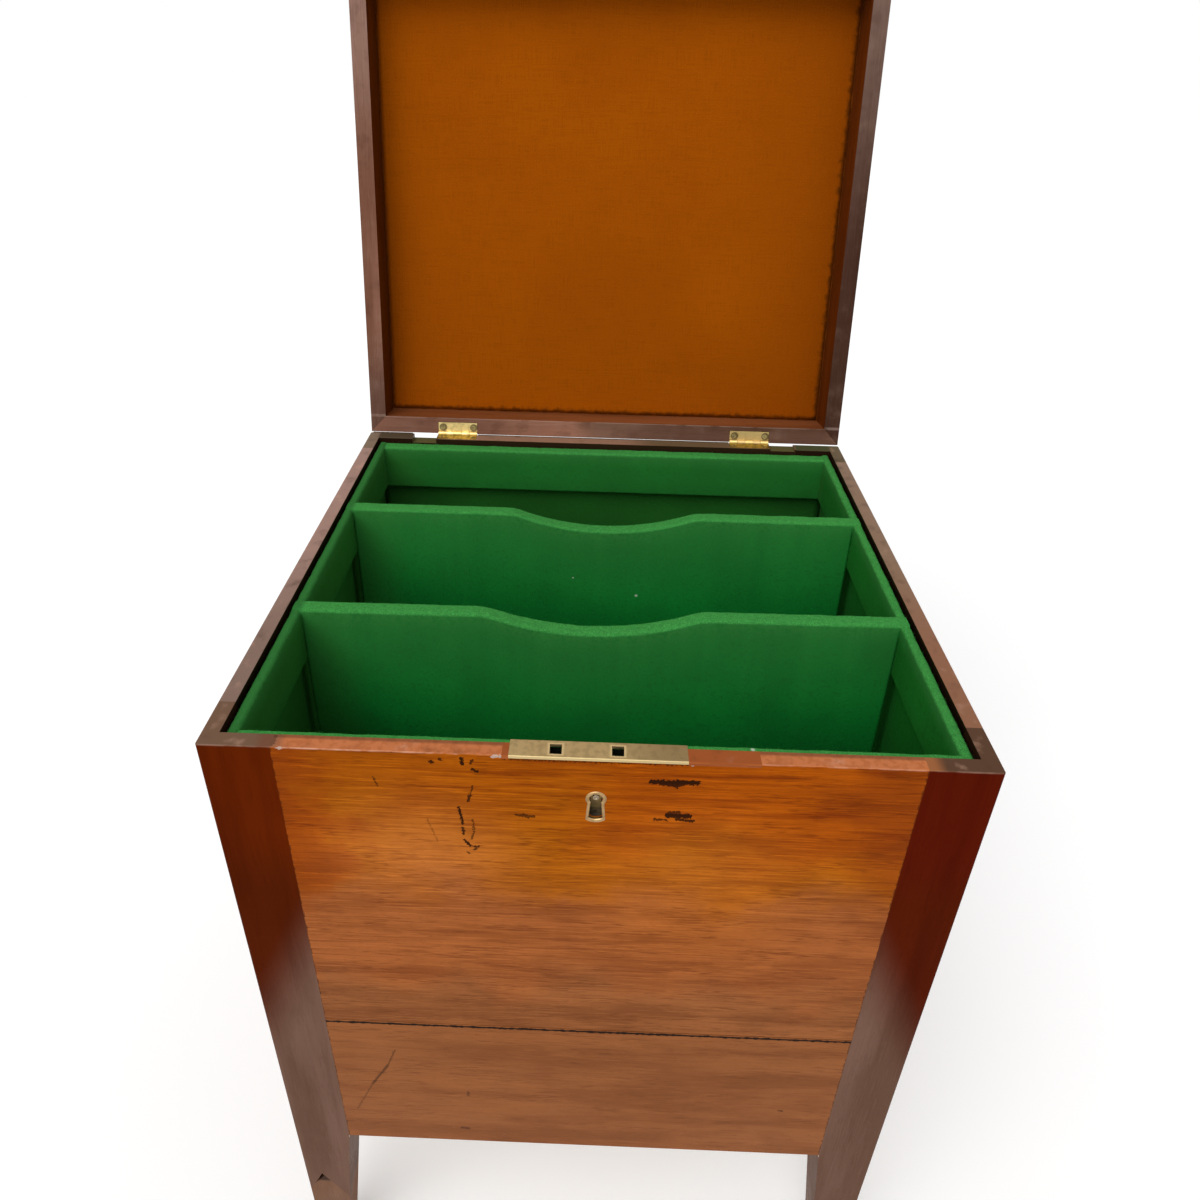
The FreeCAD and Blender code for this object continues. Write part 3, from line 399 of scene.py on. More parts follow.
def front_colour(tree, coords, wood):
    """Thick gold polish along the top and both edges, brown in the middle, paler and plainer near the lower
    board, partly as a painted reflection of the floor.
    """
    drift = add(tree, NOISE, {"Vector": coords, "Scale": 16.0, "Detail": 4.0}, normalize=False)
    led = {0: drift.outputs["Color"], 1: (0.05, 0.0, 0.03), 2: coords}
    led = add(tree, VECTORS, led, operation="MULTIPLY_ADD")
    x, _, z = add(tree, SPLIT, {"Vector": led}).outputs
    aside = add(tree, MATH, {0: x}, operation="ABSOLUTE")
    sheen_left, sheen_right = (
        add(tree, VECTORS, {0: coords, 1: (across, FRONT, high)}, operation="DISTANCE")
        for across, high in ((-0.105, 0.53), (0.07, 0.515))
    )
    vein = streaks(tree, coords, X, 0.10, 0.005, 3.0, 31.0)
    # the polish is thickest, and darkest, beside the posts, with a pale painted sheen in two soft spots;
    # red-brown veins run along the top, where it is oldest
    return stain(
        tree, wood.board,
        ("#A35806", 1.0, (z, 0.49, 0.535)),
        (wood.gold, 0.5, (z, 0.56, 0.62)),
        (wood.gold, 1.0, (x, -0.14, -0.168), (z, 0.48, 0.53)),
        (wood.gold, 1.0, (x, -0.06, 0.06), (z, 0.52, 0.58)),
        ("#823804", 0.75, (aside, 0.138, 0.190), (z, 0.46, 0.58)),
        # painted sheen: two soft pale spots on the polish
        ("#B26834", 0.55, (sheen_left, 0.09, 0.0)),
        ("#AE601E", 0.5, (sheen_right, 0.1, 0.0)),
        ("#702802", 0.5, (vein, 0.53, 0.68), (z, 0.55, 0.59)),
        # paler lower down: partly a painted reflection of the floor in the polish
        (wood.low, 1.0, (z, 0.44, 0.39)),
    )


def front_board_material(name, marks, chips, seed, wood, figure, plain=None):
    """French-polished mahogany: a warm orange-brown ribbon figure under shellac, dented and inked by use."""
    material, tree, shader, coords = new_material(name)
    x, y, z = add(tree, SPLIT, {"Vector": coords}).outputs
    base = front_colour(tree, coords, wood) if plain is None else plain
    colour, height = figured_wood(tree, coords, X, base, seed, figure, 0.96 + 0.1 * figure)
    # dirt in the joints with the posts and with the other board
    uneven = add(tree, NOISE, {"Vector": coords, "Scale": 260.0, "Detail": 4.0})
    dirt = window(tree, (uneven, 0.35, 0.7), strength=0.9 * MM)
    aside = add(tree, MATH, {0: x}, operation="ABSOLUTE")
    inward = add(tree, MATH, {0: STILE, 1: aside}, operation="SUBTRACT")
    inward = add(tree, MATH, {0: inward, 1: dirt}, operation="SUBTRACT")
    from_joint = add(tree, MATH, {0: z, 1: BOARD_JOINT}, operation="SUBTRACT")
    from_joint = add(tree, MATH, {0: from_joint}, operation="ABSOLUTE")
    from_joint = add(tree, MATH, {0: from_joint, 1: dirt}, operation="SUBTRACT")
    colour = stain(
        tree, colour,
        ("#2A1206", 0.6, (inward, 0.3 * MM, -0.2 * MM)),
        ("#1E0C03", 1.0, (from_joint, 1.0 * MM, 0.5 * MM)),
    )
    # the rubbed rim, and a thin pale line along the arris: a painted highlight where the polish is also worn
    colour = rubbed_top(tree, colour, coords, wood.rim_front, wood.rim_front, seed, 0.35)
    patch = add(tree, NOISE, {"Vector": coords, "Scale": 90.0, "Detail": 3.0})
    top = (z, *ON_RIM)
    edge = ((y, *FRONT_ARRIS), (z, *UNDER_RIM), (patch, 0.38, 0.66))
    colour = stain(
        tree, colour,
        ("#9A5228", 0.35, (uneven, 0.45, 0.6), top),
        ("#84604C", 0.8, (x, -0.178, -0.187), top),
        ("#5A3A2A", 0.6, (y, -0.2005, -0.1985), top),
        # painted highlight along the front arris, on worn polish
        ("#E8B8A0", 0.5, (x, -0.050, -0.060), *edge),
        ("#E8B8A0", 0.25, (x, 0.088, 0.098), *edge),
    )
    # the marks have ragged edges and run on over the arris along the rim
    ragged = add(tree, NOISE, {"Vector": coords, "Scale": 700.0, "Detail": 2.0}, normalize=False)
    over_arris = add(tree, MATH, {0: z, 1: y}, operation="ADD")
    over_arris = add(tree, MATH, {0: over_arris, 1: FRONT}, operation="SUBTRACT")
    flat = add(tree, JOIN, {"X": x, "Z": over_arris})
    place = {0: ragged.outputs["Color"], 1: (1.1 * MM, 0, 1.1 * MM), 2: flat}
    place = add(tree, VECTORS, place, operation="MULTIPLY_ADD")
    ink = all_marks(tree, place, marks)
    colour = stain(tree, colour, ("#1E0C03", ink))
    if chips:
        colour = stain(tree, colour, ("#C2B2A6", all_marks(tree, place, chips)))
    dented = add(tree, MATH, {0: height, 1: ink}, operation="SUBTRACT")
    polish(tree, shader, colour, dented, wood.polish, coords, level=0.03)
    return material


def leg_material(name, top, middle, rims, seed, wood):
    """Straight-grained mahogany posts: thick dark polish above, and below the knee's height a paler brown
    that is a painted reflection of the floor.

    The rims are the colours of the post's top: near, far, beside the front board, and beside the back board,
    where it is a painted shadow of the open lid.
    """
    near, far, by_front, shadow_by_back = rims
    material, tree, shader, coords = new_material(name)
    x, y, z = add(tree, SPLIT, {"Vector": coords}).outputs
    aside, deep = (add(tree, MATH, {0: value}, operation="ABSOLUTE") for value in (x, y))
    # the dark polish reaches lower down on the outer corner than beside the boards, where the painted floor
    # reflection below it stands higher
    slant = add(tree, MATH, {0: aside, 1: SLANT, 2: z}, operation="MULTIPLY_ADD")
    slant = add(tree, MATH, {0: slant, 1: SLANT * SLANT_FROM}, operation="SUBTRACT")
    base = stain(tree, top, (middle, 1.0, (z, 0.57, 0.50)), (wood.leg_low_floor_reflection, 1.0, (slant, 0.46, 0.34)))
    colour, height = figured_wood(tree, coords, Z, base, seed, 0.35)
    # painted light and shade: a pale painted reflection of the white floor on the inner faces below the case,
    # and painted shade on those inside it
    colour = stain(
        tree, colour,
        ("#E0CCB8", 1.0, (aside, STILE + 0.5 * MM, STILE + 0.2 * MM), (z, *BELOW_CASE)),
        ("#2A1A10", 1.0, (aside, *INSIDE_X), (deep, *INSIDE_Y), (z, *IN_CASE)),
    )
    colour = rubbed_top(tree, colour, coords, near, far, seed)
    # the last coat is a thin pale line along the front arris of the post: a painted highlight on worn polish
    patch = add(tree, NOISE, {"Vector": coords, "Scale": 60.0, "Detail": 3.0})
    colour = stain(
        tree, colour,
        (by_front, 0.85, (aside, 0.199, 0.190), (y, -0.17, -0.19), (z, *ON_RIM)),
        # painted shadow of the open lid on the post's top beside the back board
        (shadow_by_back, 0.9, (aside, 0.222, 0.2185), (y, 0.193, 0.1965), (z, *ON_RIM)),
        ("#A07E6C", 0.45, (y, *FRONT_ARRIS), (z, *UNDER_RIM), (patch, 0.36, 0.62)),
    )
    polish(tree, shader, colour, height, wood.polish, coords, 0.12, 0.005)
    return material


def splice_material():
    """Newer, paler mahogany let into the leg's foot, with an open dark joint at the top of its V."""
    material, tree, shader, coords = new_material("spliced_mahogany_tip")
    z = add(tree, SPLIT, {"Vector": coords}).outputs["Z"]
    colour, height = figured_wood(tree, coords, Z, "#7B5741", 33.0, 0.6)
    colour = stain(tree, colour, ("#26120A", 0.9, (z, 0.1285, 0.1325)))
    polish(tree, shader, colour, height, 0.5, coords)
    return material


def plain_mahogany(name, along, colour, seed, roughness, rim=None, inner=None):
    """Mahogany of the sides and the lid's top: quiet grain, dull polish, and painted shade on an inner face.
    """
    material, tree, shader, coords = new_material(name)
    made, height = figured_wood(tree, coords, along, colour, seed, 0.7)
    if inner:
        across = add(tree, SPLIT, {"Vector": coords}).outputs["X"]
        across = add(tree, MATH, {0: across}, operation="ABSOLUTE")
        # painted shade on the inner face, inside the case
        made = stain(tree, made, ("#1A0E08", 1.0, (across, *inner)))
    if rim:
        made = rubbed_top(tree, made, coords, *rim, seed)
    polish(tree, shader, made, height, roughness, coords)
    return material


def back_material(wood):
    """The back: plain grain, a rim in the lid's tone with a painted shadow of the open lid, two old hinge
    mortises darkened olive, and painted shade on the inner face.
    """
    material, tree, shader, coords = new_material("polished_mahogany_back")
    x, y, z = add(tree, SPLIT, {"Vector": coords}).outputs
    aside = add(tree, MATH, {0: x}, operation="ABSOLUTE")
    made, height = figured_wood(tree, coords, X, tone(wood.side, 0.9), 47.0, 0.7)
    made = rubbed_top(tree, made, coords, "#94705A", "#94705A", 47.0, 0.4)
    in_mortise = ((z, RIM - 0.3 * MM, RIM - 0.9 * MM), (z, RIM - 5.5 * MM, RIM - 4.8 * MM))
    made = stain(
        tree, made,
        # painted shadow of the open lid, tinted by a painted green reflection of the baize, on the rim's
        # right half and left end
        ("#625036", 0.85, (x, 0.015, 0.055), (z, *ON_RIM)),
        ("#5A4B34", 0.8, (x, -0.13, -0.18), (z, *ON_RIM)),
        # darker olive in the two old hinge mortises
        ("#5C5634", 1.0, (aside, 0.160, 0.1615), *in_mortise),
        # painted shade on the inner face of the back board
        ("#2E2114", 1.0, (y, 0.1956, 0.1952)),
    )
    polish(tree, shader, made, height, 0.38, coords)
    return material


def bare_wood(name, along, colour, seed):
    """Unpolished softwood that has greyed with age: dry, matt, with plain growth lines."""
    material, tree, shader, coords = new_material(name)
    ring = streaks(tree, coords, along, 0.4, 0.006, 2.0, seed)
    fibre = streaks(tree, coords, along, 0.03, 0.0008, 2.0, seed + 5)
    made = stain(
        tree, tone(colour, 1.1),
        (tone(colour, 0.62, 0.12), 1.0, (ring, 0.45, 0.62)),
        (tone(colour, 0.5), 0.4, (fibre, 0.55, 0.75)),
    )
    polish(tree, shader, made, fibre, 0.75, coords, 0.5)
    return material


class CELLARETTE_OT_case_wood(bpy.types.Operator):
    """Finish the posts, boards, rim repairs and floor of the case"""

    bl_idname = "cellarette.case_wood"
    bl_label = "Case wood"

    def execute(self, context):
        wood = context.scene.cellarette.wood
        for part, *looks in (
            ("upper", UPPER_MARKS, PALE_MARKS, 1.0, wood, 1.25),
            # the lower board takes the paler low brown, partly a painted reflection of the floor in its
            # polish
            ("lower", LOWER_MARKS, (), 9.0, wood, 0.85, wood.low),
        ):
            made = front_board_material(f"french_polished_mahogany_{part}", *looks)
            put(made, f"front_{part}_board")
        for side, top, middle, rims, seed in (
            # the last rim colour of each post, beside the back board, is a painted shadow of the open lid
            ("left", wood.leg_left, "#4C1802", ("#745846", "#84705E", "#754B39", "#4C402F"), 21.0),
            ("right", wood.leg_right, "#4E1603", ("#5C4232", "#6C5E48", "#A2663F", "#484C30"), 27.0),
        ):
            made = leg_material(f"polished_mahogany_post_{side}", top, middle, rims, seed, wood)
            put(made, f"leg_front_{side}", f"leg_back_{side}")
        put(splice_material(), "leg_front_left_tip")
        patch = "#9A522A"
        put(plain_mahogany("filled_mahogany_rim", X, patch, 37.0, 0.35, (patch, patch)), "rim_patches")
        # the sides' inner faces, inside the case, take painted shade
        inner = (WALL + 1.5 * MM, WALL + 0.3 * MM)
        for side, near, far, seed in (
            ("left", "#836A5E", tone(wood.rim_side, 1.12), 41.0),
            ("right", "#8C6048", "#856A54", 43.0),
        ):
            name = f"polished_mahogany_side_{side}"
            made = plain_mahogany(name, Y, wood.side, seed, 0.32, (near, far), inner)
            put(made, f"side_board_{side}")
        put(back_material(wood), "back_board")
        for name, along, seed, nodes in (
            ("bare_pine_board", X, 51.0, ("bottom_board", "bearer_front", "bearer_back")),
            ("bare_pine_bearers", Y, 53.0, ("bearer_left", "bearer_right", "corner_blocks")),
        ):
            put(bare_wood(name, along, wood.pine, seed), *nodes)
        return {"FINISHED"}


def lid_rail_material(name, along, inside, shades, seed, wood):
    """Lid frame: a dusty, rubbed underside and clean polish on its sides, darkened there in part with painted
    shade, grain along each rail, and a painted highlight along the back rail's inner arris.

    Each shade is a colour with the axis and the two places between which it comes in.
    """
    material, tree, shader, coords = new_material(name)
    place = shut_coords(tree, coords)
    axes = add(tree, SPLIT, {"Vector": place}).outputs
    dust = add(tree, NOISE, {"Vector": place, "Scale": 55.0, "Detail": 5.0})
    face = stain(
        tree, wood.lid,
        *((colour, 1.0, (axes[axis], low, high)) for colour, axis, low, high in shades),
        ("#947868", 0.2, (dust, 0.50, 0.76)),
        ("#3A2018", 0.25, (dust, 0.47, 0.30)),
    )
    base = stain(tree, inside, (face, 1.0, (axes[Z], LID_FACE + 0.7 * MM, LID_FACE + 0.4 * MM)))
    made, height = figured_wood(tree, place, along, base, seed, 0.5)
    # a painted highlight along the back rail's inner arris
    lit_inner_arris = (
        (axes[Z], LID_FACE + 0.7 * MM, LID_FACE + 0.3 * MM), (dust, 0.36, 0.5),
        (axes[Y], LID_INNER_BACK + 0.9 * MM, LID_INNER_BACK + 0.5 * MM), (axes[Y], 0.19, 0.191),
    )
    made = stain(tree, made, ("#C0A498", 0.3, *lit_inner_arris))
    polish(tree, shader, made, height, 0.4, coords, 0.15)
    return material


class CELLARETTE_OT_lid_wood(bpy.types.Operator):
    """Finish the rails and top of the lid"""

    bl_idname = "cellarette.lid_wood"
    bl_label = "Lid wood"

    def execute(self, context):
        wood = context.scene.cellarette.wood
        inside = wood.lid_inside
        back = (("#9C6E5A", X, -0.13, -0.07), ("#7E5D4C", X, -0.035, -0.005), ("#66483A", X, 0.0, 0.06))
        left = (("#64473C", Y, 0.10, 0.18), ("#98786C", Y, -0.02, -0.16))
        right = (("#49322A", X, 0.0, 0.001), ("#6A5349", Y, 0.02, -0.16))
        for node, along, colour, shades, seed in (
            ("lid_rail_front", X, inside, (), 61.0),
            ("lid_rail_back", X, "#824C2A", back, 63.0),
            # painted shade: the left rail is drawn darker than the right
            ("lid_rail_left", Y, tone(inside, 0.6), left, 67.0),
            ("lid_rail_right", Y, tone(inside, 0.9), right, 69.0),
        ):
            put(lid_rail_material(f"dull_mahogany_{node}", along, colour, shades, seed, wood), node)
        put(plain_mahogany("polished_mahogany_lid_top", X, wood.side, 71.0, 0.3), "lid_panel")
        return {"FINISHED"}


# ---------------------------------------------------------------- brass and steel


def metal(name, colour, roughness, tarnish, dirt, wear=None):
    """Old brass or steel: rubbed metal with brown tarnish in the low spots and fine scratches."""
    material, tree, shader, coords = new_material(name)
    bloom = add(tree, NOISE, {"Vector": coords, "Scale": 260.0, "Detail": 5.0})
    rub = streaks(tree, coords, X, 0.012, 0.0004, 2.0, 5.0)
    dull = window(tree, (bloom, 0.42, 0.68), strength=tarnish)
    made = stain(tree, colour, (dirt, dull), (tone(colour, 1.25), 0.35, (rub, 0.55, 0.75)))
    if wear:
        made = wear(tree, coords, made)
    low, high = roughness * 0.85, roughness * 1.2
    rough = {"Value": rub, "From Min": 0.3, "From Max": 0.7, "To Min": low, "To Max": high}
    rough = {0: dull, 1: 0.25, 2: add(tree, RANGE, rough)}
    fill(tree, shader, {
        "Base Color": made,
        "Metallic": 1.0,
        "Roughness": add(tree, MATH, rough, operation="MULTIPLY_ADD"),
        "Normal": add(tree, "ShaderNodeBump", {"Strength": 0.2, "Distance": 0.05 * MM, "Height": rub}),
    })
    return material


def lock_plate_wear(tree, coords, made):
    """Bright worn brass round the two square holes, a painted highlight along the front arris, duller towards
    the right.
    """
    x, y, _ = add(tree, SPLIT, {"Vector": coords}).outputs
    bright = "#E4CC96"
    # painted highlight along the front arris; the bright halos round the holes are wear
    made = stain(tree, made, ("#7E6A48", 0.6, (x, 0.0, 0.045)), (bright, 0.75, (y, *FRONT_ARRIS)))
    for centre in HOLE_CENTRES:
        hole = (centre * MM, FRONT + HOLE_DEPTH * MM, 0)
        away = add(tree, VECTORS, {0: coords, 1: hole}, operation="SUBTRACT")
        away = add(tree, VECTORS, {0: away}, operation="ABSOLUTE")
        across, deep, _ = add(tree, SPLIT, {"Vector": away}).outputs
        far = add(tree, MATH, {0: across, 1: deep}, operation="MAXIMUM")
        made = stain(tree, made, (bright, 0.75, (far, 5.4 * MM, 3.9 * MM)))
    return made


def lid_leaf_wear(tree, coords, made):
    """Grime rings round the two screws of each leaf; the right-hand leaf is duller."""
    x, y, _ = add(tree, SPLIT, {"Vector": shut_coords(tree, coords)}).outputs
    middle = (HINGE_CENTRES[1] - HINGE_CENTRES[0]) / 2 * MM
    aside = add(tree, MATH, {0: x}, operation="ABSOLUTE")
    aside = add(tree, MATH, {0: aside, 1: middle}, operation="SUBTRACT")
    aside = add(tree, MATH, {0: aside}, operation="ABSOLUTE")
    folded = add(tree, JOIN, {"X": aside, "Y": y})
    screw = (HINGE_SCREWS * MM, HINGE_SCREW_Y * MM, 0)
    gap = add(tree, VECTORS, {0: folded, 1: screw}, operation="DISTANCE")
    return stain(tree, made, ("#CFAE72", 0.7, (x, -0.05, 0.05)), ("#4A3A1E", 0.75, (gap, 4.2 * MM, 3.4 * MM)))


def case_leaf_wear(tree, coords, made):
    """The knuckles are rubbed bright."""
    y = add(tree, SPLIT, {"Vector": coords}).outputs["Y"]
    return stain(tree, made, ("#F0D48C", 1.0, (y, 0.2052, 0.2062)))


class CELLARETTE_OT_metalwork(bpy.types.Operator):
    """Finish the hinges, lock, link plate and keyhole surround"""

    bl_idname = "cellarette.metalwork"
    bl_label = "Brass and steel"

    def execute(self, context):
        brass = context.scene.cellarette.brass
        hinges = [f"hinge_{side}_{{}}" for side in ("left", "right")]
        lid_leaves, case_leaves, pins = (
            [name.format(kind) for name in hinges] for kind in ("lid_leaf", "case_leaf", "pin")
        )
        works = ("lock_cap", "lock_guide_studs", "lock_bolt", "lock_bolt_spring")
        for name, nodes, *finish in (
            ("rubbed_brass_lid_leaf", lid_leaves, brass.hinge, 0.5, 0.35, "#8A7444", lid_leaf_wear),
            ("olive_brass_case_leaf", case_leaves, brass.leaf, 0.42, 0.5, "#4A4420", case_leaf_wear),
            ("rubbed_brass_hinge_pins", pins, brass.hinge, 0.5, 0.3, "#8E7638"),
            ("dull_brass_lock_plate", ["lock_plate"], brass.lock, 0.45, 0.3, "#6E5C38", lock_plate_wear),
            ("dull_brass_link_plate", ["link_plate"], brass.lock, 0.45, 0.6, "#6E5C38"),
            ("rubbed_brass_surround", ["keyhole_escutcheon"], brass.surround, 0.35, 0.35, "#6A4A28"),
            ("grey_steel_lock", works, "#77736A", 0.5, 0.7, "#3C352C"),
            ("worn_steel_pin", ["lock_drill_pin"], "#B0A088", 0.4, 0.4, "#5A4C38"),
        ):
            put(metal(name, *finish), *nodes)
        return {"FINISHED"}


# ---------------------------------------------------------------- Geometry Nodes


def new_tree(name, inputs):
    """A geometry tree with these inputs: name, kind of socket and default."""
    tree = bpy.data.node_groups.new(name, "GeometryNodeTree")
    tree.interface.new_socket("Geometry", in_out="OUTPUT", socket_type="NodeSocketGeometry")
    for label, kind, default in inputs:
        socket = tree.interface.new_socket(label, in_out="INPUT", socket_type=f"NodeSocket{kind}")
        if default is not None:
            socket.default_value = default
    return tree, add(tree, "NodeGroupInput").outputs


def close_tree(tree, geometry, material):
    """Ends a tree: real geometry with its material."""
    real = add(tree, "GeometryNodeRealizeInstances", {"Geometry": geometry})
    finished = add(tree, "GeometryNodeSetMaterial", {"Geometry": real, "Material": material})
    add(tree, "NodeGroupOutput", {0: finished})


def grow(name, tree, values, mesh=None):
    """Runs a tree on a new piece and keeps what it makes as a plain mesh."""
    piece = bpy.data.objects.new(name, mesh or bpy.data.meshes.new(name))
    bpy.context.scene.collection.objects.link(piece)
    modifier = piece.modifiers.new("Maker", "NODES")
    modifier.node_group = tree
    for socket in tree.interface.items_tree:
        if socket.in_out == "INPUT" and socket.name in values:
            modifier[socket.identifier] = values[socket.name]
    made = bpy.data.meshes.new_from_object(piece.evaluated_get(bpy.context.evaluated_depsgraph_get()))
    piece.modifiers.clear()
    piece.data = made
    made.name = name
    return piece


# ---------------------------------------------------------------- screws


def screw_tree():
    """Slotted countersunk screws, one at each point, each turned its own way."""
    tree, given = new_tree(
        "Slotted screws",
        (
            ("Points", "Geometry", None),
            ("Head radius", "Float", 2.35 * MM),
            ("Head height", "Float", 1.1 * MM),
            ("Shank radius", "Float", 1.05 * MM),
            ("Length", "Float", 9 * MM),
            ("Slot width", "Float", 0.7 * MM),
            ("Slot depth", "Float", 0.5 * MM),
            ("Seed", "Int", 1),
            ("Material", "Material", None),
        ),
    )
    cone = {
        "Vertices": 28,
        "Radius Top": given["Head radius"],
        "Radius Bottom": given["Shank radius"],
        "Depth": given["Head height"],
    }
    sunk = add(tree, MATH, {0: given["Head height"], 1: -1.0}, operation="MULTIPLY")
    head = {"Geometry": add(tree, "GeometryNodeMeshCone", cone), "Translation": add(tree, JOIN, {"Z": sunk})}
    head = add(tree, "GeometryNodeTransform", head)
    # the shank is a little thinner than the cone's end, so that their walls don't coincide
    neck = add(tree, MATH, {0: given["Shank radius"], 1: 0.98}, operation="MULTIPLY")
    shank = add(tree, "GeometryNodeMeshCylinder", {"Vertices": 16, "Radius": neck, "Depth": given["Length"]})
    middle = add(tree, MATH, {0: given["Length"], 1: -0.5}, operation="MULTIPLY")
    shank = {"Geometry": shank, "Translation": add(tree, JOIN, {"Z": middle})}
    shank = add(tree, "GeometryNodeTransform", shank)
    long = add(tree, MATH, {0: given["Head radius"], 1: 2.4}, operation="MULTIPLY")
    deep = add(tree, MATH, {0: given["Slot depth"], 1: 2.0}, operation="MULTIPLY")
    bar = add(tree, JOIN, {"X": given["Slot width"], "Y": long, "Z": deep})
    cut = {"Mesh 1": head, "Mesh 2": add(tree, "GeometryNodeMeshCube", {"Size": bar})}
    cut = add(tree, "GeometryNodeMeshBoolean", cut, operation="DIFFERENCE", solver="EXACT")
    whole = add(tree, "GeometryNodeJoinGeometry", {"Geometry": [shank, cut]})
    facing = add(tree, "GeometryNodeInputNamedAttribute", {"Name": "facing"}, data_type="FLOAT_VECTOR")
    outward = add(tree, "FunctionNodeAlignRotationToVector", {"Vector": facing}, axis="Z")
    turn = {"Min": 0.0, "Max": 3.14, "Seed": given["Seed"]}
    turn = add(tree, "FunctionNodeRandomValue", turn, data_type="FLOAT")
    spin = add(tree, "FunctionNodeAxisAngleToRotation", {"Axis": (0, 0, 1), "Angle": turn})
    turned = {"Rotation": outward, "Rotate By": spin}
    turned = add(tree, "FunctionNodeRotateRotation", turned, rotation_space="LOCAL")
    at = {"Points": given["Points"], "Instance": whole, "Rotation": turned}
    close_tree(tree, add(tree, "GeometryNodeInstanceOnPoints", at), given["Material"])
    return tree


def screw_points(spots, facing):
    """A mesh of loose points, each with the way its screw faces."""
    mesh = bpy.data.meshes.new("screw_points")
    mesh.from_pydata([tuple(Vector(spot) * MM) for spot in spots], [], [])
    attribute = mesh.attributes.new("facing", "FLOAT_VECTOR", "POINT")
    for point in attribute.data:
        point.vector = facing
    return mesh


def from_shut(x, y, z):
    """A place on the shut lid, in millimetres, as it stands with the lid open."""
    return OPEN_TURN @ (Vector((x, y, z)) - LID_AXIS / MM) + LID_AXIS / MM


def box_corners(node):
    """Head centres of the four lock screws, from the box that their node fills."""
    low, high = (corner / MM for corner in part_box(node))
    head = 2.4
    return [(x, high.y, z) for x in (low.x + head, high.x - head) for z in (low.z + head, high.z - head)]


def floor_spots(z):
    """Head centres of the six screws under the bearers."""
    side, front, back = (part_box(f"bearer_{name}") for name in ("right", "front", "back"))
    side_x = (side[0].x + side[1].x) / 2 / MM
    spots = [(x, y, z) for x in (-side_x, side_x) for y in FLOOR_SCREWS_Y]
    return spots + [(0, (box[0].y + box[1].y) / 2 / MM, z) for box in (front, back)]


class CELLARETTE_OT_screws(bpy.types.Operator):
    """Drive slotted screws into the hinges, lock, link plate and floor"""

    bl_idname = "cellarette.screws"
    bl_label = "Screws"

    def execute(self, context):
        brass = context.scene.cellarette.brass
        tree = screw_tree()
        old = metal("brass_screw_heads", tone(brass.hinge, 0.6), 0.4, 0.7, linear("#4A3A1C"))
        iron = metal("iron_screw_heads", linear("#6A6258"), 0.5, 0.8, linear("#3A2416"))
        hinge_x = [centre + end for centre in HINGE_CENTRES for end in (-HINGE_SCREWS, HINGE_SCREWS)]
        down = OPEN_TURN @ Vector((0, 0, -1))
        lid_z = LID_FACE / MM
        floor_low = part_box("floor_screws")[0].z / MM
        case = [(x, HINGE_SCREW_Y, RIM / MM) for x in hinge_x]
        lid = [from_shut(x, HINGE_SCREW_Y, lid_z) for x in hinge_x]
        link = [from_shut(x, LINK_SCREW_Y, lid_z) for x in LINK_SCREWS_X]
        groups = (
            ("hinge_case_screws", case, (0, 0, 1), 9.0, old, "case", "brass", 3),
            ("hinge_lid_screws", lid, down, 9.0, old, "lid", "brass", 5),
            ("link_screws", link, down, 9.0, old, "lid", "brass", 7),
            ("lock_screws", box_corners("lock_screws"), (0, 1, 0), 6.5, old, "case", "steel", 9),
            ("floor_screws", floor_spots(floor_low), (0, 0, -1), 20.0, iron, "case", "steel", 11),
        )
        for node, spots, facing, length, material, body, slot, seed in groups:
            values = {
                "Head radius": brass.head,
                "Shank radius": brass.shank,
                "Slot width": brass.slot,
                "Length": length * MM,
                "Seed": seed,
                "Material": material,
            }
            piece = grow(f"{node}_slotted", tree, values, screw_points(spots, facing))
            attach(piece, body)
            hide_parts(node)
        return {"FINISHED"}


# ---------------------------------------------------------------- baize


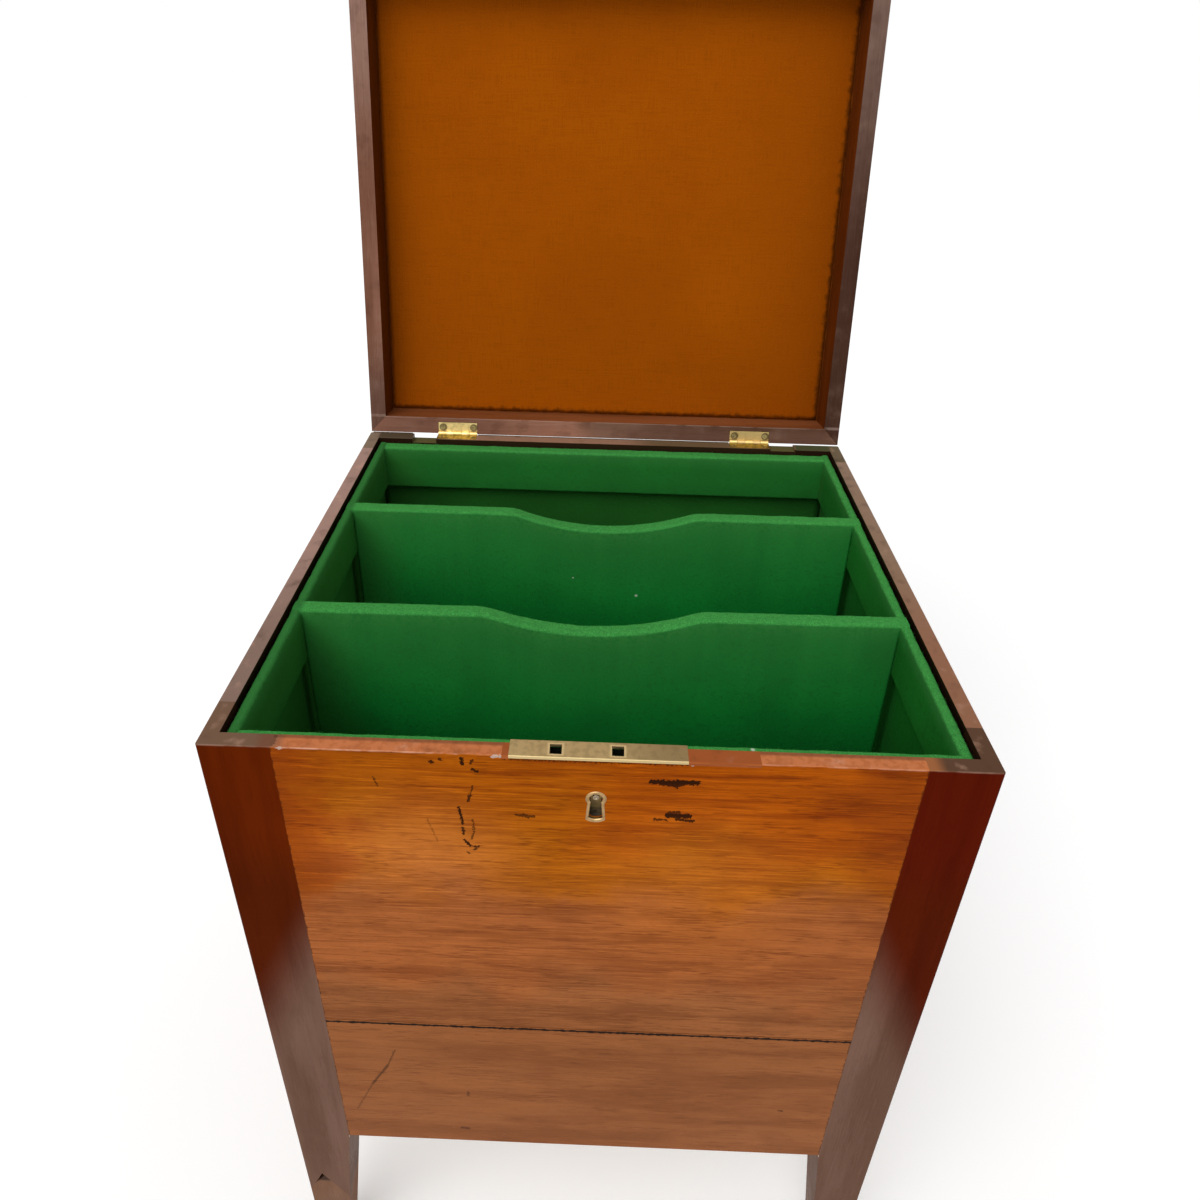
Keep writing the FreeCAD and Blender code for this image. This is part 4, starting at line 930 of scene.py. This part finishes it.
def baize_material(name, colour, crown, lint=()):
    """Wool baize: matt, fulled and slightly furry, paler on the upward edges, where the nap stands and where
    light is painted, and with painted light on the top band of each face.
    """
    material, tree, shader, coords = new_material(name)
    # wool fibres are 0.03 mm thick; their tufts are drawn about 0.8 mm wide to show
    cloud, tuft, clump = (
        add(tree, NOISE, {"Vector": coords, "Scale": scale, "Detail": detail})
        for scale, detail in ((14.0, 3.0), (1250.0, 2.0), (330.0, 2.0))
    )
    x, y, _ = add(tree, SPLIT, {"Vector": coords}).outputs
    aside = add(tree, MATH, {0: x}, operation="ABSOLUTE")
    brow, high = (
        add(tree, "ShaderNodeAttribute", attribute_name=mark).outputs["Fac"] for mark in ("brow", "crown")
    )
    dusty = tone(crown, 0.5, 0.25)
    made = stain(
        tree, tone(colour, 0.84),
        (tone(colour, 1.14), 1.0, (cloud, 0.3, 0.7)),
        (tone(colour, 0.62), 0.55, (clump, 0.5, 0.72)),
        (tone(colour, 1.6), 0.5, (tuft, 0.5, 0.72)),
        # dust has greyed the left ends and the back
        (dusty, 0.5, (x, -0.16, -0.208)),
        (dusty, 0.45, (y, 0.16, 0.18)),
        # painted light: the top band of each face is drawn paler, fading down into the compartments
        (tone(crown, 0.62), 0.65, (brow, 0.2, 1.0)),
        (tone(crown, 0.78), 0.7, (brow, 0.76, 0.92), (clump, 0.3, 0.6)),
    )
    # the upward faces take a paler nap colour: the standing nap, with painted light where they face up
    nap = stain(
        tree, tone(crown, 0.76),
        (tone(crown, 1.26), 1.0, (tuft, 0.4, 0.66)),
        (tone(crown, 0.42), 0.8, (x, -0.2085, -0.2125)),
    )
    frayed = add(tree, RANGE, {"Value": clump, "From Min": 0.25, "From Max": 0.65, "To Min": 0.45})
    frayed = add(tree, MATH, {0: high, 1: frayed}, operation="MULTIPLY")
    # black with old oil behind the lock
    oily = ((y, -0.1949, -0.1955), (aside, 0.045, 0.04))
    made = stain(tree, made, (nap, frayed), ("#0B0C08", 1.0, *oily))
    for place, radius in lint:
        gap = add(tree, VECTORS, {0: coords, 1: Vector(place) * MM}, operation="DISTANCE")
        made = stain(tree, made, ("#B8C8B0", 1.0, (gap, radius * MM * 1.4, radius * MM * 0.6)))
    fluff = add(tree, MATH, {0: tuft, 1: clump}, operation="ADD")
    fill(tree, shader, {
        "Base Color": made,
        "Roughness": 0.95,
        "Specular IOR Level": 0.1,
        "Sheen Weight": 0.08,
        "Sheen Roughness": 0.5,
        "Sheen Tint": tone(crown, 1.4),
        "Normal": add(tree, "ShaderNodeBump", {"Strength": 0.6, "Distance": 0.35 * MM, "Height": fluff}),
    })
    return material


def nap_material(name, colour):
    """Single wool fibres: pale green, matt."""
    material, tree, shader, coords = new_material(name)
    tint = add(tree, NOISE, {"Vector": coords, "Scale": 400.0})
    made = stain(tree, tone(colour, 0.7), (tone(colour, 1.25), 1.0, (tint, 0.35, 0.65)))
    fill(tree, shader, {"Base Color": made, "Roughness": 1.0, "Specular IOR Level": 0.1})
    return material


def sagitta(tree, arc, chord):
    """Height of an arc above its lowest point, at this distance from it."""
    squares = [add(tree, MATH, {0: side, 1: side}, operation="MULTIPLY") for side in (arc, chord)]
    inside = add(tree, MATH, {0: squares[0], 1: squares[1]}, operation="SUBTRACT")
    root = add(tree, MATH, {0: inside}, operation="SQRT")
    return add(tree, MATH, {0: arc, 1: root}, operation="SUBTRACT")


def dip_below(tree, given, x):
    """How far the top lies below its straight line: two shoulder arcs and a long hollow between them."""
    depth, half, shoulder = given["Dip depth"], given["Dip half width"], given["Dip shoulder"]
    slope = add(tree, MATH, {0: depth, 1: half}, operation="DIVIDE")
    angle = add(tree, MATH, {0: slope}, operation="ARCTANGENT")
    angle = add(tree, MATH, {0: angle, 1: 2.0}, operation="MULTIPLY")
    sine = add(tree, MATH, {0: angle}, operation="SINE")
    radius = add(tree, MATH, {0: half, 1: sine}, operation="DIVIDE")
    radius = add(tree, MATH, {0: radius, 1: shoulder}, operation="SUBTRACT")
    joint = add(tree, MATH, {0: radius, 1: sine}, operation="MULTIPLY")
    away = add(tree, MATH, {0: x, 1: given["Dip shift"]}, operation="SUBTRACT")
    away = add(tree, MATH, {0: away}, operation="ABSOLUTE")
    hollow = add(tree, MATH, {0: depth, 1: sagitta(tree, radius, away)}, operation="SUBTRACT")
    left = add(tree, MATH, {0: half, 1: away}, operation="SUBTRACT")
    in_hollow = add(tree, MATH, {0: away, 1: joint}, operation="LESS_THAN")
    in_dip = add(tree, MATH, {0: away, 1: half}, operation="LESS_THAN")
    ends = {"Factor": in_hollow, "A": sagitta(tree, shoulder, left), "B": hollow}
    inner = add(tree, MIX, ends, data_type="FLOAT")
    return add(tree, MATH, {0: inner, 1: in_dip}, operation="MULTIPLY")


def ear_cut(tree, given, solid, half):
    """Cuts both ends back below the ears, so that the board hangs by them."""
    tall = 2.0
    knives = []
    foot = add(tree, MATH, {0: given["Ear foot"], 1: -tall / 2}, operation="ADD")
    for side in (-1.0, 1.0):
        inner = add(tree, MATH, {0: half, 1: given["Ear"]}, operation="SUBTRACT")
        middle = add(tree, MATH, {0: inner, 1: 0.5}, operation="ADD")
        middle = add(tree, MATH, {0: middle, 1: side}, operation="MULTIPLY")
        knife = add(tree, "GeometryNodeMeshCube", {"Size": (1.0, 1.0, tall)})
        spot = add(tree, JOIN, {"X": middle, "Z": foot})
        knives.append(add(tree, "GeometryNodeTransform", {"Geometry": knife, "Translation": spot}))
    cut = {"Mesh 1": solid, "Mesh 2": knives}
    cut = add(tree, "GeometryNodeMeshBoolean", cut, operation="DIFFERENCE", solver="EXACT")
    eared = add(tree, MATH, {0: given["Ear"], 1: 0.0}, operation="GREATER_THAN")
    either = {"Switch": eared, "False": solid, "True": cut}
    return add(tree, "GeometryNodeSwitch", either, input_type="GEOMETRY")


def board_tree():
    """A board with baize drawn round it: soft uneven edges, and a top dipped to reach the bottles by."""
    tree, given = new_tree(
        "Soft edged bar",
        (
            ("Length", "Float", 0.42),
            ("Thickness", "Float", 0.01),
            ("Height", "Float", 0.04),
            ("Edge round", "Float", 2.4 * MM),
            ("Dip depth", "Float", 0.0),
            ("Dip half width", "Float", 0.0),
            ("Dip shoulder", "Float", 35 * MM),
            ("Dip shift", "Float", 0.0),
            ("Ear", "Float", 0.0),
            ("Ear foot", "Float", 0.0),
            ("Wobble", "Float", 0.4 * MM),
            ("Centre", "Vector", (0, 0, 0)),
            ("Turn", "Float", 0.0),
            ("Seed", "Float", 0.0),
            ("Material", "Material", None),
        ),
    )
    half = add(tree, MATH, {0: given["Length"], 1: 0.5}, operation="MULTIPLY")
    top = add(tree, MATH, {0: given["Height"], 1: 0.5}, operation="MULTIPLY")
    minus = add(tree, MATH, {0: half, 1: -1.0}, operation="MULTIPLY")
    ends = {"Start": add(tree, JOIN, {"X": minus}), "End": add(tree, JOIN, {"X": half})}
    line = add(tree, "GeometryNodeCurvePrimitiveLine", ends)
    line = add(tree, "GeometryNodeResampleCurve", {"Curve": line, "Count": 170})
    line = add(tree, "GeometryNodeSetCurveNormal", {"Curve": line}, mode="Z_UP")
    section = {"Width": given["Thickness"], "Height": given["Height"]}
    section = add(tree, "GeometryNodeCurvePrimitiveQuadrilateral", section)
    section = {"Curve": section, "Radius": given["Edge round"], "Limit Radius": True, "Count": 5}
    section = add(tree, "GeometryNodeFilletCurve", section, mode="POLY")
    section = add(tree, "GeometryNodeSubdivideCurve", {"Curve": section, "Cuts": 2})
    solid = add(tree, "GeometryNodeCurveToMesh", {"Curve": line, "Profile Curve": section, "Fill Caps": True})
    here = add(tree, "GeometryNodeInputPosition")
    x, y, z = add(tree, SPLIT, {"Vector": here}).outputs
    # the dip fades out towards the foot of the board
    share = add(tree, MATH, {0: z, 1: given["Height"]}, operation="DIVIDE")
    share = add(tree, MATH, {0: share, 1: 0.5}, operation="ADD")
    dip = dip_below(tree, given, x)
    drop = add(tree, MATH, {0: dip, 1: share}, operation="MULTIPLY")
    drop = add(tree, MATH, {0: drop, 1: -1.0}, operation="MULTIPLY")
    drop = add(tree, JOIN, {"Z": drop})
    solid = add(tree, "GeometryNodeSetPosition", {"Geometry": solid, "Offset": drop})
    solid = ear_cut(tree, given, solid, half)
    normal = add(tree, "GeometryNodeInputNormal")
    lumps = {"Vector": here, "W": given["Seed"], "Scale": 95.0, "Detail": 3.0}
    lumps = add(tree, NOISE, lumps, noise_dimensions="4D")
    push = add(tree, MATH, {0: lumps, 1: 0.5}, operation="SUBTRACT")
    push = add(tree, MATH, {0: push, 1: given["Wobble"]}, operation="MULTIPLY")
    push = add(tree, MATH, {0: push, 1: 3.0}, operation="MULTIPLY")
    offset = add(tree, VECTORS, {0: normal, "Scale": push}, operation="SCALE")
    solid = add(tree, "GeometryNodeSetPosition", {"Geometry": solid, "Offset": offset})
    # the materials paint light on the upward faces and on the top 20 mm of each face
    upward = add(tree, SPLIT, {"Vector": normal}).outputs["Z"]
    below = add(tree, MATH, {0: top, 1: dip}, operation="SUBTRACT")
    below = add(tree, MATH, {0: below, 1: z}, operation="SUBTRACT")
    brow = add(tree, RANGE, {"Value": below, "From Min": 20 * MM, "From Max": 0.0})
    for name, value in (("crown", window(tree, (upward, 0.0, 0.6))), ("brow", brow)):
        marked = {"Geometry": solid, "Name": name, "Value": value}
        solid = add(tree, "GeometryNodeStoreNamedAttribute", marked, data_type="FLOAT", domain="POINT")
    turn = add(tree, JOIN, {"Z": given["Turn"]})
    placed = {"Geometry": solid, "Translation": given["Centre"], "Rotation": turn}
    placed = add(tree, "GeometryNodeTransform", placed)
    close_tree(tree, add(tree, "GeometryNodeSetShadeSmooth", {"Geometry": placed}), given["Material"])
    return tree


def nap_tree():
    """Loose fibres standing up along the covered top edges.

    Wool fibres are 0.03 mm thick; they are drawn 0.09 mm thick to show.
    """
    tree, given = new_tree(
        "Loose nap",
        (
            ("Boards", "Geometry", None),
            ("Density", "Float", 400000.0),
            ("Length", "Float", 1.3 * MM),
            ("Fibre radius", "Float", 0.045 * MM),
            ("Seed", "Int", 4),
            ("Material", "Material", None),
        ),
    )
    high = add(tree, "GeometryNodeInputNamedAttribute", {"Name": "crown"}, data_type="FLOAT")
    where = add(tree, MATH, {0: high, 1: 0.35}, operation="GREATER_THAN")
    spread = {"Mesh": given["Boards"], "Selection": where, "Density": given["Density"], "Seed": given["Seed"]}
    scatter = add(tree, "GeometryNodeDistributePointsOnFaces", spread)
    lean = add(tree, MATH, {0: given["Length"], 1: 0.35}, operation="MULTIPLY")
    knee = add(tree, MATH, {0: given["Length"], 1: 0.6}, operation="MULTIPLY")
    tip = add(tree, JOIN, {"X": lean, "Z": given["Length"]})
    bend = {"Resolution": 2, "Start": (0, 0, 0), "Middle": add(tree, JOIN, {"Z": knee}), "End": tip}
    hair = add(tree, "GeometryNodeCurveQuadraticBezier", bend)
    ring = add(tree, "GeometryNodeCurvePrimitiveCircle", {"Resolution": 3, "Radius": given["Fibre radius"]})
    fibre = add(tree, "GeometryNodeCurveToMesh", {"Curve": hair, "Profile Curve": ring, "Fill Caps": True})
    tilt = {"Min": (-0.9, -0.9, 0.0), "Max": (0.9, 0.9, 6.28), "Seed": given["Seed"]}
    size = {"Min": 0.35, "Max": 1.0, "Seed": given["Seed"]}
    planted = {
        "Points": scatter,
        "Instance": fibre,
        "Rotation": add(tree, "FunctionNodeRandomValue", tilt, data_type="FLOAT_VECTOR"),
        "Scale": add(tree, "FunctionNodeRandomValue", size, data_type="FLOAT"),
    }
    close_tree(tree, add(tree, "GeometryNodeInstanceOnPoints", planted), given["Material"])
    return tree


# node, long axis, dip depth, dip shift, skew in degrees, how far it stands out in x, and what the cloth
# adds to its thickness and length: the sizes and places come from the CAD node's box
BOARDS = (
    ("insert_left", Y, 0.0, 0.0, 0.0, -0.6, 0.6, 0.0),
    ("insert_right", Y, 0.0, 0.0, 0.0, 0.6, 0.6, 0.0),
    ("insert_front", X, 0.0, 0.0, 0.0, 0.0, 0.0, 2.4),
    ("insert_back", X, 0.0, 0.0, 0.0, 0.0, 0.0, 2.4),
    ("divider_front", X, 15.0, -5.0, 0.6, 0.0, 0.0, -0.8),
    ("divider_rear", X, 15.0, 2.0, 0.0, 0.0, 0.0, -0.8),
)
DIP_HALF_WIDTH = 83.0
DIVIDER_THICK = 12.5
EAR = 5.6
# crumbs of lint: place and radius
LINT = (
    ((32.3, 62.4, 547.3), 1.3),
    ((-23.6, 62.4, 564.3), 0.8),
    ((90.1, -192.3, 627.0), 1.3),
    ((-193.0, -190.2, 627.0), 1.1),
)


class CELLARETTE_OT_insert(bpy.types.Operator):
    """Cover the insert's boards and dividers in baize, with loose nap along their edges"""

    bl_idname = "cellarette.insert"
    bl_label = "Baize insert"

    def execute(self, context):
        baize = context.scene.cellarette.baize
        tree = board_tree()
        face = baize_material("green_wool_baize_dividers", baize.face, baize.crown, LINT)
        side = baize_material("green_wool_baize_sides", baize.side, baize.crown, LINT)
        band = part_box("insert_left")
        ears = (band[0].z + band[1].z) / 2
        joined = []
        for number, (node, axis, dip, shift, skew, out, thicker, longer) in enumerate(BOARDS):
            low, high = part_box(node)
            size, centre = high - low, (low + high) / 2
            divider = dip > 0
            thick = DIVIDER_THICK * MM if divider else size[X if axis == Y else Y]
            # how far the covered face lies inside the board's box, and by how much the piece is lower
            grip, lower = (0.15 * MM, 0.15 * MM) if divider else (0.35 * MM, 1.3 * MM)
            centre += Vector((out * MM, 0, -grip))
            values = {
                "Length": size[axis] + longer * MM,
                "Thickness": thick - 2 * grip + thicker * MM,
                "Height": size.z - lower,
                "Edge round": min(baize.edge_round, thick * 0.36),
                "Dip depth": dip * MM,
                "Dip half width": DIP_HALF_WIDTH * MM if divider else 0.0,
                "Dip shift": shift * MM,
                "Ear": EAR * MM if divider else 0.0,
                "Ear foot": ears - centre.z,
                "Wobble": baize.wobble,
                "Centre": centre,
                "Turn": math.radians(skew) + (math.pi / 2 if axis == Y else 0.0),
                "Seed": 3.7 * number,
                "Material": face if axis == X else side,
            }
            piece = grow(f"baize_{node}", tree, values)
            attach(piece, "case")
            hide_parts(node)
            joined.append(piece)
        fuzz = nap_material("loose_wool_nap", baize.crown)
        hairs = nap_tree()
        for piece in joined:
            values = {"Density": baize.nap_count, "Length": baize.nap_length, "Material": fuzz, "Seed": 4}
            nap = grow(piece.name.replace("baize", "nap"), hairs, values, piece.data.copy())
            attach(nap, "case")
        return {"FINISHED"}


class CELLARETTE_OT_wax_lines(bpy.types.Operator):
    """Lay the old wax and dust that has gathered along the back arris of the rim, beside the hinges"""

    bl_idname = "cellarette.wax_lines"
    bl_label = "Wax along the back rim"

    def execute(self, context):
        # crumbs of dust in dark wax, neither of them with any gloss left
        material, tree, shader, coords = new_material("old_wax_and_dust")
        crumbs = add(tree, NOISE, {"Vector": coords, "Scale": 900.0, "Detail": 3.0})
        made = stain(tree, "#3A2C1E", ("#6A5440", 1.0, (crumbs, 0.45, 0.65)))
        fill(tree, shader, {"Base Color": made, "Roughness": 0.7, "Specular IOR Level": 0.1})
        bar = board_tree()
        # the bead stands just under the shut lid, and clear of the lid's corner as it turns
        for name, start, end in (("left", -227.5, -188.5), ("middle", -124.0, 122.5)):
            values = {
                "Length": (end - start) * MM,
                "Thickness": 1.3 * MM,
                "Height": 1.5 * MM,
                "Edge round": 0.4 * MM,
                "Wobble": 0.05 * MM,
                "Centre": Vector(((start + end) / 2 * MM, 207.2 * MM, RIM - 0.45 * MM)),
                "Seed": start,
                "Material": material,
            }
            piece = grow(f"back_rim_wax_{name}", bar, values)
            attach(piece, "case")
        return {"FINISHED"}


# ---------------------------------------------------------------- cloth on the walls, floor and lid


def cloth_piece(name, corner, along, across, normal, thick, step, ripple, fray, seed):
    """A closed sheet of cloth from a corner along two sides, rippled a little and cut a little unevenly."""
    wide, deep = along.length, across.length
    columns, rows = (max(2, round(side / step)) for side in (wide, deep))
    points = []
    for layer in (0.0, 1.0):
        for row in range(rows + 1):
            for column in range(columns + 1):
                u, v = column / columns, row / rows
                spot = corner + along * u + across * v
                seen = spot * 9 + Vector((seed, 0, 0))
                inset = fray * (0.5 + 0.5 * noise.noise(spot * 160 + Vector((seed, seed, 0))))
                for share, side in ((u, along), (v, across)):
                    if share in (0.0, 1.0):
                        spot = spot + side.normalized() * (inset if share == 0.0 else -inset)
                rise = ripple * (0.5 + 0.5 * noise.noise(seen)) * min(1.0, 8 * min(u, 1 - u, v, 1 - v) + 0.2)
                points.append(spot + normal * (rise + layer * thick))
    stride = (rows + 1) * (columns + 1)
    faces = []
    for row in range(rows):
        for column in range(columns):
            a = row * (columns + 1) + column
            quad = (a, a + 1, a + columns + 2, a + columns + 1)
            faces.append(tuple(reversed(quad)))
            faces.append(tuple(stride + i for i in quad))
    edge = list(range(columns))
    edge += [row * (columns + 1) + columns for row in range(rows)]
    edge += [rows * (columns + 1) + columns - column for column in range(columns)]
    edge += [(rows - row) * (columns + 1) for row in range(rows)]
    for first, second in zip(edge, edge[1:] + edge[:1]):
        faces.append((first, second, second + stride, first + stride))
    mesh = bpy.data.meshes.new(name)
    mesh.from_pydata(points, [], faces)
    if along.cross(across).dot(normal) < 0:
        mesh.flip_normals()
    mesh.shade_smooth()
    piece = bpy.data.objects.new(name, mesh)
    bpy.context.scene.collection.objects.link(piece)
    return piece


# node, the axis that its cloth faces along, which way, and the board that it is glued to
LININGS = (
    ("lining_floor", Z, 1, "bottom_board"),
    ("lining_left", X, 1, "side_board_left"),
    ("lining_right", X, -1, "side_board_right"),
    ("lining_front", Y, 1, "front_upper_board"),
    ("lining_back", Y, -1, "back_board"),
)


class CELLARETTE_OT_linings(bpy.types.Operator):
    """Glue baize to the walls and floor below the insert"""

    bl_idname = "cellarette.linings"
    bl_label = "Baize linings"

    def execute(self, context):
        baize = context.scene.cellarette.baize
        # painted shade: the linings are drawn darker than the insert, deep in the case
        deep = baize_material("green_wool_baize_lining", tone(baize.side, 0.9), baize.crown)
        for number, (node, axis, side, board) in enumerate(LININGS):
            low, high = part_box(node)
            size = high - low
            normal, along, across = Vector((0, 0, 0)), Vector((0, 0, 0)), Vector((0, 0, 0))
            normal[axis] = side
            first, second = [k for k in (X, Y, Z) if k != axis]
            along[first], across[second] = size[first], size[second]
            corner = low.copy()
            corner[axis] = low[axis] if side > 0 else high[axis]
            piece = cloth_piece(
                f"{node}_cloth", corner, along, across, normal, baize.cloth,
                step=6 * MM, ripple=0.35 * MM, fray=0.4 * MM, seed=number,
            )
            piece.data.materials.append(deep)
            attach(piece, "case")
            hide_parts(node)
        return {"FINISHED"}


def amber_material(name, colour, corner):
    """Amber woollen cloth: a close plain weave under a brushed nap, faded in one patch, darker along its
    right and back edges.

    The corner is the cloth's far right one, with the lid shut.
    """
    material, tree, shader, coords = new_material(name)
    place = shut_coords(tree, coords)
    x, y, _ = add(tree, SPLIT, {"Vector": place}).outputs
    # threads are 0.5 mm apart; they are drawn 0.9 mm apart to show
    warp = streaks(tree, place, Y, 0.02, 0.0009, 1.0, 2.0)
    weft = streaks(tree, place, X, 0.02, 0.0009, 1.0, 6.0)
    weave = add(tree, MATH, {0: warp, 1: weft}, operation="ADD")
    cloud = add(tree, NOISE, {"Vector": place, "Scale": 8.0, "Detail": 4.0, "Roughness": 0.6})
    speck = add(tree, NOISE, {"Vector": place, "Scale": 900.0, "Detail": 2.0})
    faded = add(tree, VECTORS, {0: place, 1: (0.122, 0.064, corner.z)}, operation="DISTANCE")
    made = stain(
        tree, tone(colour, 0.93),
        (tone(colour, 1.06, -0.03), 1.0, (cloud, 0.35, 0.65)),
        (tone(colour, 1.3, -0.06), 0.45, (faded, 0.075, 0.01)),
        (tone(colour, 0.82), 0.75, (x, 0.06, 0.2)),
        (tone(colour, 0.7), 0.4, (weave, 1.0, 1.25)),
        (tone(colour, 1.5), 0.35, (speck, 0.52, 0.72)),
    )
    ragged = add(tree, NOISE, {"Vector": place, "Scale": 160.0, "Detail": 5.0}, normalize=False)
    # darker along the right and back edges, with a ragged line
    for axis, limit in ((x, corner.x), (y, corner.y)):
        frayed = add(tree, MATH, {0: ragged, 1: 3.0 * MM, 2: axis}, operation="MULTIPLY_ADD")
        made = stain(tree, made, ("#4A2404", 0.75, (frayed, limit - 6 * MM, limit - 0.5 * MM)))
    rough = add(tree, MATH, {0: weave, 1: speck}, operation="ADD")
    fill(tree, shader, {
        "Base Color": made,
        "Roughness": 0.95,
        "Specular IOR Level": 0.05,
        "Sheen Weight": 0.02,
        "Sheen Roughness": 0.5,
        "Sheen Tint": tone(colour, 1.6),
        "Normal": add(tree, "ShaderNodeBump", {"Strength": 0.5, "Distance": 0.25 * MM, "Height": rough}),
    })
    return material


class CELLARETTE_OT_lid_cloth(bpy.types.Operator):
    """Stretch the amber cloth inside the lid"""

    bl_idname = "cellarette.lid_cloth"
    bl_label = "Lid cloth"

    def execute(self, context):
        baize = context.scene.cellarette.baize
        node = frame["nodes"]["lid_lining"]
        shut = [SHUT_TURN @ (vertex.co - LID_AXIS) + LID_AXIS for vertex in node.data.vertices]
        low = Vector([min(point[k] for point in shut) for k in (X, Y, Z)])
        high = Vector([max(point[k] for point in shut) for k in (X, Y, Z)])
        corner, right, back, down = (
            from_shut(x / MM, y / MM, z / MM) * MM
            for x, y, z in (
                (low.x, low.y, high.z), (high.x, low.y, high.z),
                (low.x, high.y, high.z), (low.x, low.y, low.z),
            )
        )
        normal = (down - corner).normalized()
        along, across = right - corner, back - corner
        piece = cloth_piece(
            "lid_lining_cloth", corner, along, across, normal, baize.cloth,
            step=4 * MM, ripple=0.4 * MM, fray=1.1 * MM, seed=17.0,
        )
        piece.data.materials.append(amber_material("amber_woollen_cloth", baize.lid, high))
        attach(piece, "lid")
        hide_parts("lid_lining")
        return {"FINISHED"}


# ---------------------------------------------------------------- stage


def make_floor(stage):
    """A pale matt floor that keeps the object's shadow."""
    mesh = bpy.data.meshes.new("floor")
    reach = 9.0
    corners = [(-reach, -reach, 0), (reach, -reach, 0), (reach, reach, 0), (-reach, reach, 0)]
    mesh.from_pydata(corners, [], [(0, 1, 2, 3)])
    floor = bpy.data.objects.new("floor", mesh)
    bpy.context.scene.collection.objects.link(floor)
    material, tree, shader, _ = new_material("pale_painted_floor")
    seen = add(tree, "ShaderNodeLightPath").outputs["Is Camera Ray"]
    fill(tree, shader, {
        "Base Color": stage.floor,
        "Roughness": 0.9,
        "Specular IOR Level": 0.1,
        "Emission Color": (1, 1, 1, 1),
        "Emission Strength": add(tree, MATH, {0: seen, 1: 0.18}, operation="MULTIPLY"),
    })
    mesh.materials.append(material)


def make_world(stage):
    """An even pale room, and plain white where the camera or a gloss sees past the floor."""
    world = bpy.data.worlds.new("room")
    world.use_nodes = True
    tree = world.node_tree
    seen = add(tree, "ShaderNodeLightPath").outputs
    direct = add(tree, MATH, {0: seen["Is Camera Ray"], 1: seen["Is Glossy Ray"]}, operation="MAXIMUM")
    direct = add(tree, MATH, {0: direct, 1: seen["Is Transmission Ray"]}, operation="MAXIMUM")
    strength = add(tree, RANGE, {"Value": direct, "To Min": stage.world, "To Max": 1.0})
    fill(tree, tree.nodes["Background"], {"Color": (1, 1, 1, 1), "Strength": strength})
    bpy.context.scene.world = world


def make_key(stage):
    """A wide soft light high on the left, in front."""
    light = bpy.data.lights.new("key", "SUN")
    light.energy = stage.key
    light.angle = math.radians(50)
    key = bpy.data.objects.new("key", light)
    key.rotation_euler = (Vector((-0.45, -0.75, 1.0))).to_track_quat("Z", "Y").to_euler()
    bpy.context.scene.collection.objects.link(key)


def make_camera():
    """The camera stands over the front of the box and looks down into it."""
    place = Vector((-5.04, -564.07, 1004.31)) * MM
    pitch, yaw, roll = (math.radians(angle) for angle in (28.303, -1.006, 1.302))
    focal, centre_x, centre_y = 869.607, 583.978, 474.993
    ahead = Vector((math.sin(yaw) * math.cos(pitch), math.cos(yaw) * math.cos(pitch), -math.sin(pitch)))
    level = Vector((math.cos(yaw), -math.sin(yaw), 0))
    upright = level.cross(ahead)
    right = level * math.cos(roll) + upright * math.sin(roll)
    up = upright * math.cos(roll) - level * math.sin(roll)
    data = bpy.data.cameras.new("camera")
    data.sensor_width = 36.0
    data.lens = focal / PICTURE * data.sensor_width
    data.shift_x = (PICTURE / 2 - centre_x) / PICTURE
    data.shift_y = (centre_y - PICTURE / 2) / PICTURE
    data.clip_start = 0.01
    camera = bpy.data.objects.new("camera", data)
    turn = Matrix((right, up, -ahead)).transposed().to_4x4()
    camera.matrix_world = Matrix.Translation(place) @ turn
    bpy.context.scene.collection.objects.link(camera)
    bpy.context.scene.camera = camera


class CELLARETTE_OT_stage(bpy.types.Operator):
    """Set out the floor, light and camera"""

    bl_idname = "cellarette.stage"
    bl_label = "Stage"

    def execute(self, context):
        stage = context.scene.cellarette.stage
        make_floor(stage)
        make_world(stage)
        make_key(stage)
        make_camera()
        context.scene.view_settings.view_transform = "Standard"
        return {"FINISHED"}


# ---------------------------------------------------------------- panel and registration

STEPS = (
    "stage", "case_wood", "lid_wood", "metalwork", "screws", "insert", "wax_lines", "linings", "lid_cloth",
)


class CELLARETTE_PT_panel(bpy.types.Panel):
    bl_label = "Cellarette"
    bl_idname = "CELLARETTE_PT_panel"
    bl_space_type = "VIEW_3D"
    bl_region_type = "UI"
    bl_category = "Cellarette"

    def draw(self, context):
        settings = context.scene.cellarette
        for group in (settings.wood, settings.baize, settings.brass, settings.stage):
            box = self.layout.box()
            for name in group.__annotations__:
                box.prop(group, name)
        for step in STEPS:
            self.layout.operator(f"cellarette.{step}")


CLASSES = (
    CellaretteWood,
    CellaretteBaize,
    CellaretteBrass,
    CellaretteStage,
    CellaretteSettings,
    CELLARETTE_OT_case_wood,
    CELLARETTE_OT_lid_wood,
    CELLARETTE_OT_metalwork,
    CELLARETTE_OT_screws,
    CELLARETTE_OT_insert,
    CELLARETTE_OT_wax_lines,
    CELLARETTE_OT_linings,
    CELLARETTE_OT_lid_cloth,
    CELLARETTE_OT_stage,
    CELLARETTE_PT_panel,
)


def register():
    for made in CLASSES:
        bpy.utils.register_class(made)
    bpy.types.Scene.cellarette = PointerProperty(type=CellaretteSettings)


def unregister():
    del bpy.types.Scene.cellarette
    for made in reversed(CLASSES):
        bpy.utils.unregister_class(made)


def main():
    register()
    for step in STEPS:
        getattr(bpy.ops.cellarette, step)()


if __name__ == "__main__":
    main()
